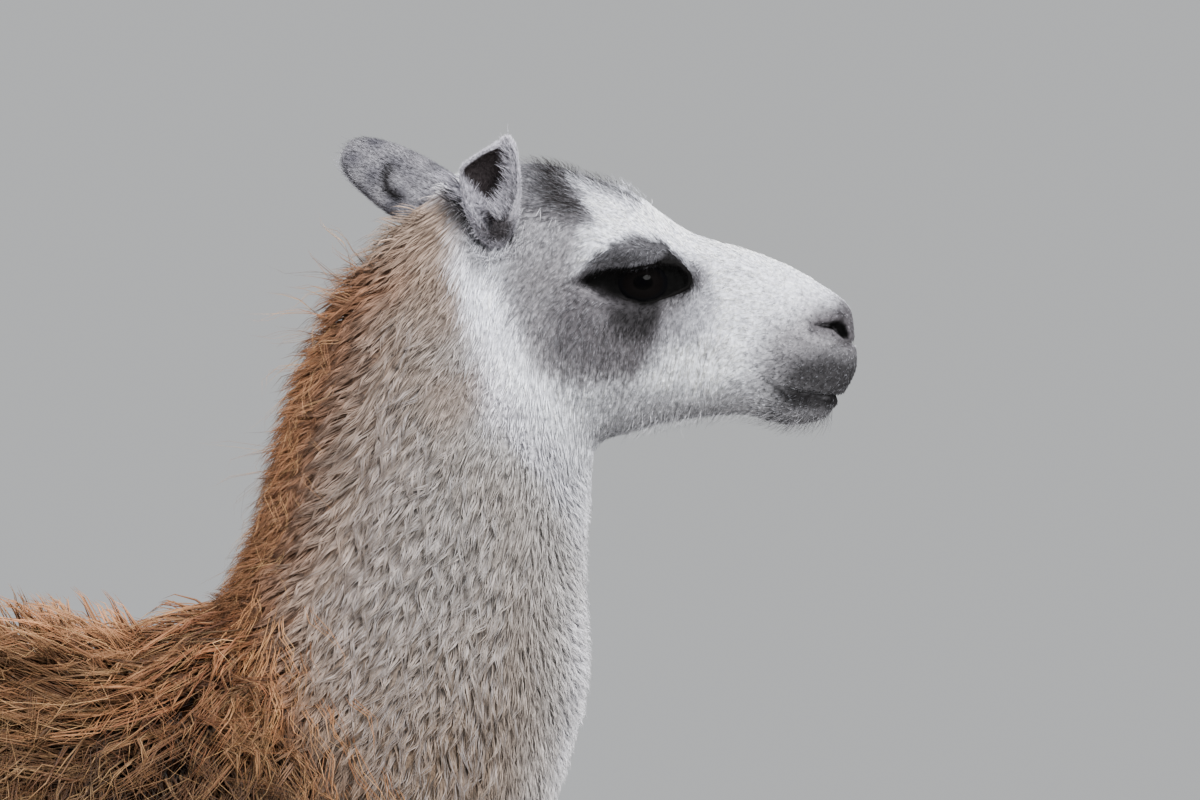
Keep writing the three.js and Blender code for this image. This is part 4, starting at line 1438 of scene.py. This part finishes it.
def all_of(tint):
    """One colour for a whole group of tufts."""
    return lambda place, normal: np.tile(tint, (len(place), 1))


# ---------------------------------------------------------------- hair of the face


def face_length(points):
    ahead, out, up = places(points)
    long = 8.5 - 4.5 * smooth_step(ahead, 60, 150) + 4.0 * smooth_step(-of_head(ahead, up), -60, 10)
    long = long - 3.0 * (1.0 - smooth_step(from_outline(LID_LINE, ahead, up), 3, 16)) * (out > 40)
    by_ear = np.exp(-(((ahead + 116) / 24) ** 2) - ((out - 44) / 24) ** 2 - ((up - 38) / 22) ** 2)
    return long + 7.0 * by_ear


def face_rise(points):
    return face_length(points) * 0.3


def white_tips(points):
    """Dark hair on the face is tipped with white, except round the eyes."""
    ahead, _, up = places(points)
    under = 1.0 - patch(UNDER_EYE_MARK_AND_SHADE, ahead, up, 10)
    return 0.26 * smooth_step(from_outline(LID_LINE, ahead, up), 5, 13) * under


def off_the_lid(place, normal):
    """Lashes stand out from the eye and droop."""
    return unit(towards(place, places(place)[0] / 60.0 - 0.2, 0.4, -0.75))


rng = np.random.default_rng(1185)
face_fur = locks(ground, face_here, 7.6, 3, face_length, 1.0, face_rise, rng, spread=1.5, gather=0.85,
                 sway=0.2, parts=1, dark=0.28, light=1.3, vary=0.2, sag=0.05, flat=0.8, pale=WHITE,
                 share=white_tips)
crown_here = face_here * smooth_step(mid_up, 56, 80) * smooth_step(-mid_ahead, -34, -10)
chin_here = face_here * smooth_step(-mid_up, 96, 106) * smooth_step(mid_ahead, -30, 40)
edge_fur = locks(ground, crown_here + chin_here, 12.0, 1, 15.0, 0.6, 9.0, rng, sway=0.35, dark=0.8, light=1.3,
                 vary=0.2, length_vary=0.5)
lid_here = falling_off(from_lid - 3.0, 1.6) * (mid_out > 40) * on_body
upper_lid = lid_here * (mid_up > 3) * (mid_ahead < 34)
lashes = locks(ground, upper_lid, 1.3, 1, 10.0, 0.5, 3.0, rng, parts=4, dark=0.2, light=0.3, sag=0.2,
               length_vary=0.4, way=off_the_lid, colour=all_of(SOOT))
lid_fur = locks(ground, lid_here, 1.4, 1, 6.0, 0.8, 1.2, rng, parts=1, dark=0.5, light=1.0, sway=0.3)

# ---------------------------------------------------------------- wool of the neck


def neck_length(points):
    ahead, _, up = places(points)
    back = smooth_step(line_at(WHITE_LINE, up) - ahead, -20, 50)
    return 14.0 + 12.0 * back + 6.0 * smooth_step(-up, 300, 560)


def neck_rise(points):
    ahead, _, up = places(points)
    front = smooth_step(ahead - line_at(WHITE_LINE, up), 0, 40) * smooth_step(-up, 130, 180)
    return coat_depth(points) * (0.95 + 0.4 * front)


def pale_on_neck(points):
    """The neck's grey wool has the palest tips; its brown wool has none."""
    ahead, _, up = places(points)
    off_crest = smooth_step(ahead - line_at(CREST, up), 40, 110)
    return 0.24 * off_crest * smooth_step(ahead - line_at(BROWN_LINE, up), 0, 50)


throat = smooth_step(from_white, -80, -20)
sides_here = neck_here * (1.0 - throat)
neck_wool = locks(ground, sides_here * near_side, 46.0, 8, lambda p: 9.0 + neck_length(p), 1.15, neck_rise,
                  rng, spread=4.2, gather=0.92, sag=0.06, sway=0.2, curl=0.14, dark=0.28, light=1.35,
                  flat=0.7, pale=WHITE, share=pale_on_neck)
neck_wool_far = locks(ground, sides_here * (1.0 - near_side), 95.0, 6, lambda p: 7.0 + neck_length(p), 1.8,
                      neck_rise, rng, spread=4.5, gather=0.8, sag=0.06, sway=0.16, curl=0.1, dark=0.4,
                      light=1.25, vary=0.13, flat=0.6)
throat_wool = locks(ground, neck_here * throat, 12.5, 2, neck_length, 1.15, neck_rise, rng, spread=2.2,
                    gather=0.4, sag=0.05, dark=0.8, light=1.1, vary=0.07, flat=0.6)

# ---------------------------------------------------------------- wool of the trunk, legs and tail


def trunk_length(points):
    ahead, _, up = places(points)
    return 92.0 - 24.0 * smooth_step(-up, 600, 800) - 30.0 * smooth_step(of_neck(ahead, up), -120, 0)


def trunk_rise(points):
    ahead, _, up = places(points)
    rump = smooth_step(-ahead, 980, 1080)
    return coat_depth(points) * (1.05 - 0.35 * rump - 0.2 * smooth_step(-up, 520, 700)) + 20.0 * (up > -330)


def low_down(points):
    return smooth_step(-places(points)[2], 290, 380)


def straight_back(place, normal):
    """Wool along the spine lies straight back, over the parting."""
    return along_skin(towards(place, -1.0, 0.0, 0.0), normal)


def over_the_edge(place, normal):
    """The shoulder's fringe falls forward and down over the neck."""
    return along_skin(towards(place, 0.42, 0.1, -0.9), normal)


thick = dict(spread=10.0, parts=3, dark=0.4, light=1.15, vary=0.2, flat=0.5)
trunk_wool = locks(ground, trunk_here, 315.0, 5, trunk_length, 3.4, trunk_rise, rng, sag=0.25, sway=0.22,
                   curl=0.12, share=0.25, **thick)
spine_here = falling_off(mid_out, 26) * (ground.points[ground.corners[:, 0], 2] > 0.8) * trunk_here
spine_wool = locks(ground, spine_here, 170.0, 5, 80.0, 3.0, trunk_rise, rng, gather=0.5, sway=0.35, curl=0.15,
                   share=0.3, way=straight_back, **thick)
shown = smooth_step(mid_ahead, -640, -580) * smooth_step(mid_up, -640, -580) * near_side * trunk_here
fine_wool = locks(ground, shown, 170.0, 8, lambda p: 1.25 * trunk_length(p), 1.25,
                  lambda p: 1.05 * trunk_rise(p), rng, spread=10.0, gather=0.85, sag=0.3, sway=0.3, curl=0.34,
                  parts=4, dark=0.36, light=1.15, vary=0.3, flat=0.8,
                  share=lambda p: 0.35 - 0.22 * low_down(p))
loose_wool = locks(ground, shown, 270.0, 1, lambda p: 1.5 * trunk_length(p), 0.9,
                   lambda p: 1.25 * trunk_rise(p), rng, sag=0.3, sway=0.45, curl=0.45, parts=5, dark=0.7,
                   light=1.3, vary=0.2, flat=0.8, share=lambda p: 1.0 - 0.4 * low_down(p))
fringe_here = falling_off(from_brown + 10, 26) * smooth_step(-mid_up, 200, 260) * on_body
fringe_here *= smooth_step(mid_up, -700, -620)
fringe = locks(ground, fringe_here, 150.0, 3, 74.0, 1.0, 22.0, rng, spread=6.0, gather=0.5, sag=0.25,
               sway=0.2, curl=0.16, parts=4, dark=0.6, light=1.2, vary=0.2, flat=0.7, share=0.6,
               way=over_the_edge, colour=all_of(WOOL))
leg_fur = locks(ground, legs_here * on_body, 62.0, 1, lambda p: 12.0 + coat_depth(p) * 1.9,
                lambda p: 2.4 + coat_depth(p) * 0.07, lambda p: coat_depth(p) * 0.8, rng, dark=0.65,
                light=1.15, sway=0.08)
tail_wool = locks(ground, tail_here, 90.0, 3, 60.0, 3.0, lambda p: coat_depth(p) * 0.9, rng, spread=5.0,
                  parts=3, dark=0.5, light=1.25, sway=0.2, curl=0.08, sag=0.3)

# ---------------------------------------------------------------- the crest


def off_the_nape(place, normal):
    """Loose wool of the crest stands up behind the ears and turns down lower on the neck."""
    lift = 0.6 - 1.7 * smooth_step(-places(place)[2], -20, 100) + wandering(place, 0.02, 0.8, 61)
    return unit(towards(place, -0.4, 0.1, lift))


crest_here = 1.0 - smooth_step(mid_ahead - line_at(CREST, mid_up), 10, 44)
crest_here *= neck_here * smooth_step(-mid_up, -74, -40)
mane = locks(ground, crest_here, 11.0, 3, 34.0, 1.1, 24.0, rng, spread=3.0, gather=0.2, sway=0.3, curl=0.1,
             parts=3, dark=0.4, light=1.15, vary=0.25, length_vary=0.4, share=0.1)
wisps = locks(ground, crest_here * smooth_step(-mid_up, -26, 10), 30.0, 3, 50.0, 0.65, 15.0, rng, spread=5.0,
              gather=0.5, sway=0.5, curl=0.45, parts=5, dark=0.6, light=1.2, vary=0.25, length_vary=0.5,
              share=0.7, way=off_the_nape)

# ---------------------------------------------------------------- hair of the ears


def to_the_tip(name):
    """Hair on an ear lies towards its tip."""
    tip_axis = ear_axes(EARS[name])[2]
    return lambda place, normal: along_skin(np.tile(tip_axis, (len(place), 1)), normal)


def across_hollow(name, turn):
    """Hair of a rim lies over the hollow; turn is positive from the front rim and negative from the back."""
    out_axis, across_axis, tip_axis = ear_axes(EARS[name])
    flow = unit(tip_axis * 1.2 - across_axis * turn + out_axis * 0.35)
    return lambda place, normal: np.tile(flow, (len(place), 1))


def by_ear_root(name):
    """Where the head's hair runs up on to an ear."""
    root = EARS[name]["root"]
    side = np.sign(root[1]) == np.sign(ground.middles[:, 1])
    far = ((mid_ahead - root[0] - 2) / 22) ** 2 + ((mid_out - abs(root[1]) - 4) / 20) ** 2
    far += ((mid_up - root[2] + 4) / 15) ** 2
    return np.exp(-far) * side * on_body


def hair_of_ear(number, name):
    """The hair of one ear: at its foot, outside, in its hollow, over its rims and at its base."""
    # Where the triangles are round the ear's wall, from 0 at the front rim to the back rim and back again.
    row = (ground.corners[:, 0] - starts[number]) % (2 * EAR_AROUND)
    row = np.where(ear_of == number, row, -1)
    height = from_ear_root(ground.middles, name)[2]
    outside = ((row >= 0) & (row < EAR_AROUND)).astype(float)
    inside = (row >= EAR_AROUND).astype(float)
    front = ((row >= 2 * EAR_AROUND - 3) | (row == 0) | (row == 1)) & (height > 0.3) & (height < 0.93)
    back = ((row >= EAR_AROUND - 2) & (row <= EAR_AROUND + 1)) & (height > 0.12)
    low_rim = outside * (height < 0.34) * (height > 0.02) * ((row < 6) | (row > EAR_AROUND - 7))
    base = inside * (height < 0.5) * front
    flap = patch(EAR_FLAP, mid_ahead, mid_up, 6) * (name == "ear_right")
    pale = all_of(EAR_PALE)
    tipward = to_the_tip(name)

    def own(place, normal):
        return ear_colour(place, normal, name)

    return [
        locks(ground, by_ear_root(name), 2.2, 1, 15.0, 1.05, 2.5, rng, dark=0.5, light=1.1, way=tipward,
              sway=0.1, length_vary=0.4, vary=0.2),
        locks(ground, outside * (height < 0.97), 2.6, 1, 7.0, 0.95, 2.2, rng, parts=1, dark=0.5, light=1.2,
              way=tipward, colour=own, sway=0.2, vary=0.2),
        locks(ground, inside * (height > 0.04) * (1 + 3 * flap), 7.0, 1, 9.0, 0.9, 3.0, rng, parts=1,
              dark=0.7, light=1.4, way=tipward, colour=own, sway=0.25, vary=0.25),
        locks(ground, front.astype(float), 0.9, 1, 21.0, 0.6, 3.5, rng, dark=0.3, light=1.2,
              way=across_hollow(name, 0.55), colour=pale, sway=0.2, length_vary=0.45, vary=0.3),
        locks(ground, back.astype(float), 5.0, 1, 5.5, 0.7, 2.0, rng, dark=0.3, light=0.8,
              way=across_hollow(name, -0.1), colour=pale, sway=0.2, length_vary=0.5, vary=0.2),
        locks(ground, low_rim, 2.6, 1, 13.0, 0.7, 5.0, rng, dark=0.45, light=1.15, vary=0.25,
              way=across_hollow(name, 0.1), colour=own, sway=0.3, length_vary=0.5),
        locks(ground, base, 3.0, 1, 20.0, 0.9, 9.0, rng, parts=3, dark=0.5, light=1.1,
              way=across_hollow(name, 0.3), colour=pale, sway=0.2, length_vary=0.4, vary=0.25),
    ]


def crease_way(place, normal):
    """The hair of the skin's fold behind the right ear lies back."""
    return unit(towards(place, -0.6, 0.7, 0.2))


def crease_here(ahead_by, up_by):
    """Along the fold behind the right ear, or beside it."""
    far, _ = from_line(EAR_CREASE_SHADE, mid_ahead - ahead_by, mid_up - up_by)
    return falling_off(far, 3.5) * (mid_out > 20) * (ground.middles[:, 1] < 0) * on_body


ear_groups = [group for number, name in enumerate(EARS, 1) for group in hair_of_ear(number, name)]
# Painted shade: grey hair along the fold behind the right ear.
ear_groups.append(locks(ground, crease_here(0, 0), 3.5, 2, 17.0, 1.0, 12.0, rng, way=crease_way, parts=3,
                        dark=0.5, light=1.0, sway=0.2, colour=all_of(GREY)))
ear_groups.append(locks(ground, crease_here(5, 6), 1.5, 2, 27.0, 1.0, 20.0, rng, way=crease_way, parts=3,
                        dark=0.4, light=1.2, sway=0.2, colour=all_of(EAR_PALE)))

# ---------------------------------------------------------------- pieces

face_coat = fur_finish("face_fur_finish", 0.85, 0.0, 300.0, 2400.0, 0.02, 0.6)
neck_coat = fur_finish("neck_wool_finish", 0.8, 0.03, 60.0, 1500.0, 0.1, 0.2)
body_coat = fur_finish("body_wool_finish", 0.6, 0.02, 40.0, 1100.0, 0.12, 0.25)
leg_coat = fur_finish("leg_fur_finish", 0.8, 0.03, 60.0, 1500.0, 0.08, 0.25)


def placed(name, mesh, finish, stands_for=()):
    """A piece that rides on the body, with its finish and the solids that it stands for."""
    thing = new_object(name, mesh)
    mesh.materials.clear()
    mesh.materials.append(finish)
    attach(thing, "root")
    if stands_for:
        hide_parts(*stands_for)


placed("skin", llama_mesh, face_coat, [*FLESH, *EARS])
for name, groups, finish, slot in (
    ("face_fur", [face_fur, edge_fur, lid_fur, lashes], face_coat, "face_coat"),
    ("ear_fur", ear_groups, face_coat, "face_coat"),
    ("neck_wool", [neck_wool, neck_wool_far, throat_wool], neck_coat, "neck_coat"),
    ("mane", [mane, wisps], neck_coat, "neck_coat"),
    ("body_wool", [trunk_wool, spine_wool, fine_wool, loose_wool, fringe], body_coat, "body_coat"),
    ("tail_wool", [tail_wool], body_coat, "body_coat"),
    ("leg_fur", [leg_fur], leg_coat, "leg_coat"),
):
    for mesh in coat_pieces(name, groups):
        placed(mesh.name, mesh, finish)

placed("lid_rims", lid_rims(), lid_finish())
gloss = eye_finish()
placed("eyeball_right", eyeball_mesh(-1), gloss, ["eye_right"])
placed("eyeball_left", eyeball_mesh(1), gloss, ["eye_left"])
horn = nail_finish()
for name in NAILS:
    placed(name.replace("nail", "horn"), nail_mesh(name), horn, [name])

# ---------------------------------------------------------------- floor, light and camera

FLOOR_REACH = 14.0
VIEW_FROM = 6.0  # how far the camera stands from the middle plane
VIEW_MIDDLE = (-34, -93)  # the middle of the view, in millimetres ahead of the eye and above it
# The lamps: place, width and power, and the place that each is aimed at.
LAMPS = {
    "key": ((1.3, -3.5, 2.9), 1.4, 590, EYE_LEVEL),
    "top": ((0.3, -0.6, 4.6), 2.0, 330, EYE_LEVEL),
    "fill": ((2.6, 2.6, 2.8), 3.0, 100, EYE_LEVEL),
    "back": ((-2.6, 0.4, 3.6), 2.4, 130, (-0.3, 0.0, 0.9)),
}


def floor_disc():
    def disc(body):
        bmesh.ops.create_circle(body, cap_ends=True, segments=96, radius=FLOOR_REACH)

    mesh = edited(bpy.data.meshes.new("floor"), disc)
    mesh.materials.append(floor_finish())
    return new_object("floor", mesh)


def soft_light(name, place, size, power, at):
    lamp = bpy.data.lights.new(name, "AREA")
    lamp.shape, lamp.size, lamp.energy = "DISK", size, power
    thing = new_object(name, lamp)
    thing.location = place
    thing.rotation_euler = (Vector(at) - Vector(place)).to_track_quat("-Z", "Y").to_euler()


floor_disc()
for name, settings in LAMPS.items():
    soft_light(name, *settings)
world = bpy.data.worlds.new("studio")
world.use_nodes = True
world.node_tree.nodes["Background"].inputs["Color"].default_value = rgba(tone(226, 228, 230))
world.node_tree.nodes["Background"].inputs["Strength"].default_value = 0.72
bpy.context.scene.world = world

camera = bpy.data.cameras.new("camera")
camera.sensor_fit = "HORIZONTAL"
camera.sensor_width = 36.0
camera.lens = 225.0
viewer = new_object("camera", camera)
viewer.location = (EYE[0] + VIEW_MIDDLE[0] * MM, -VIEW_FROM, EYE[2] + VIEW_MIDDLE[1] * MM)
viewer.rotation_euler = (math.pi / 2, 0.0, 0.0)
bpy.context.scene.camera = viewer
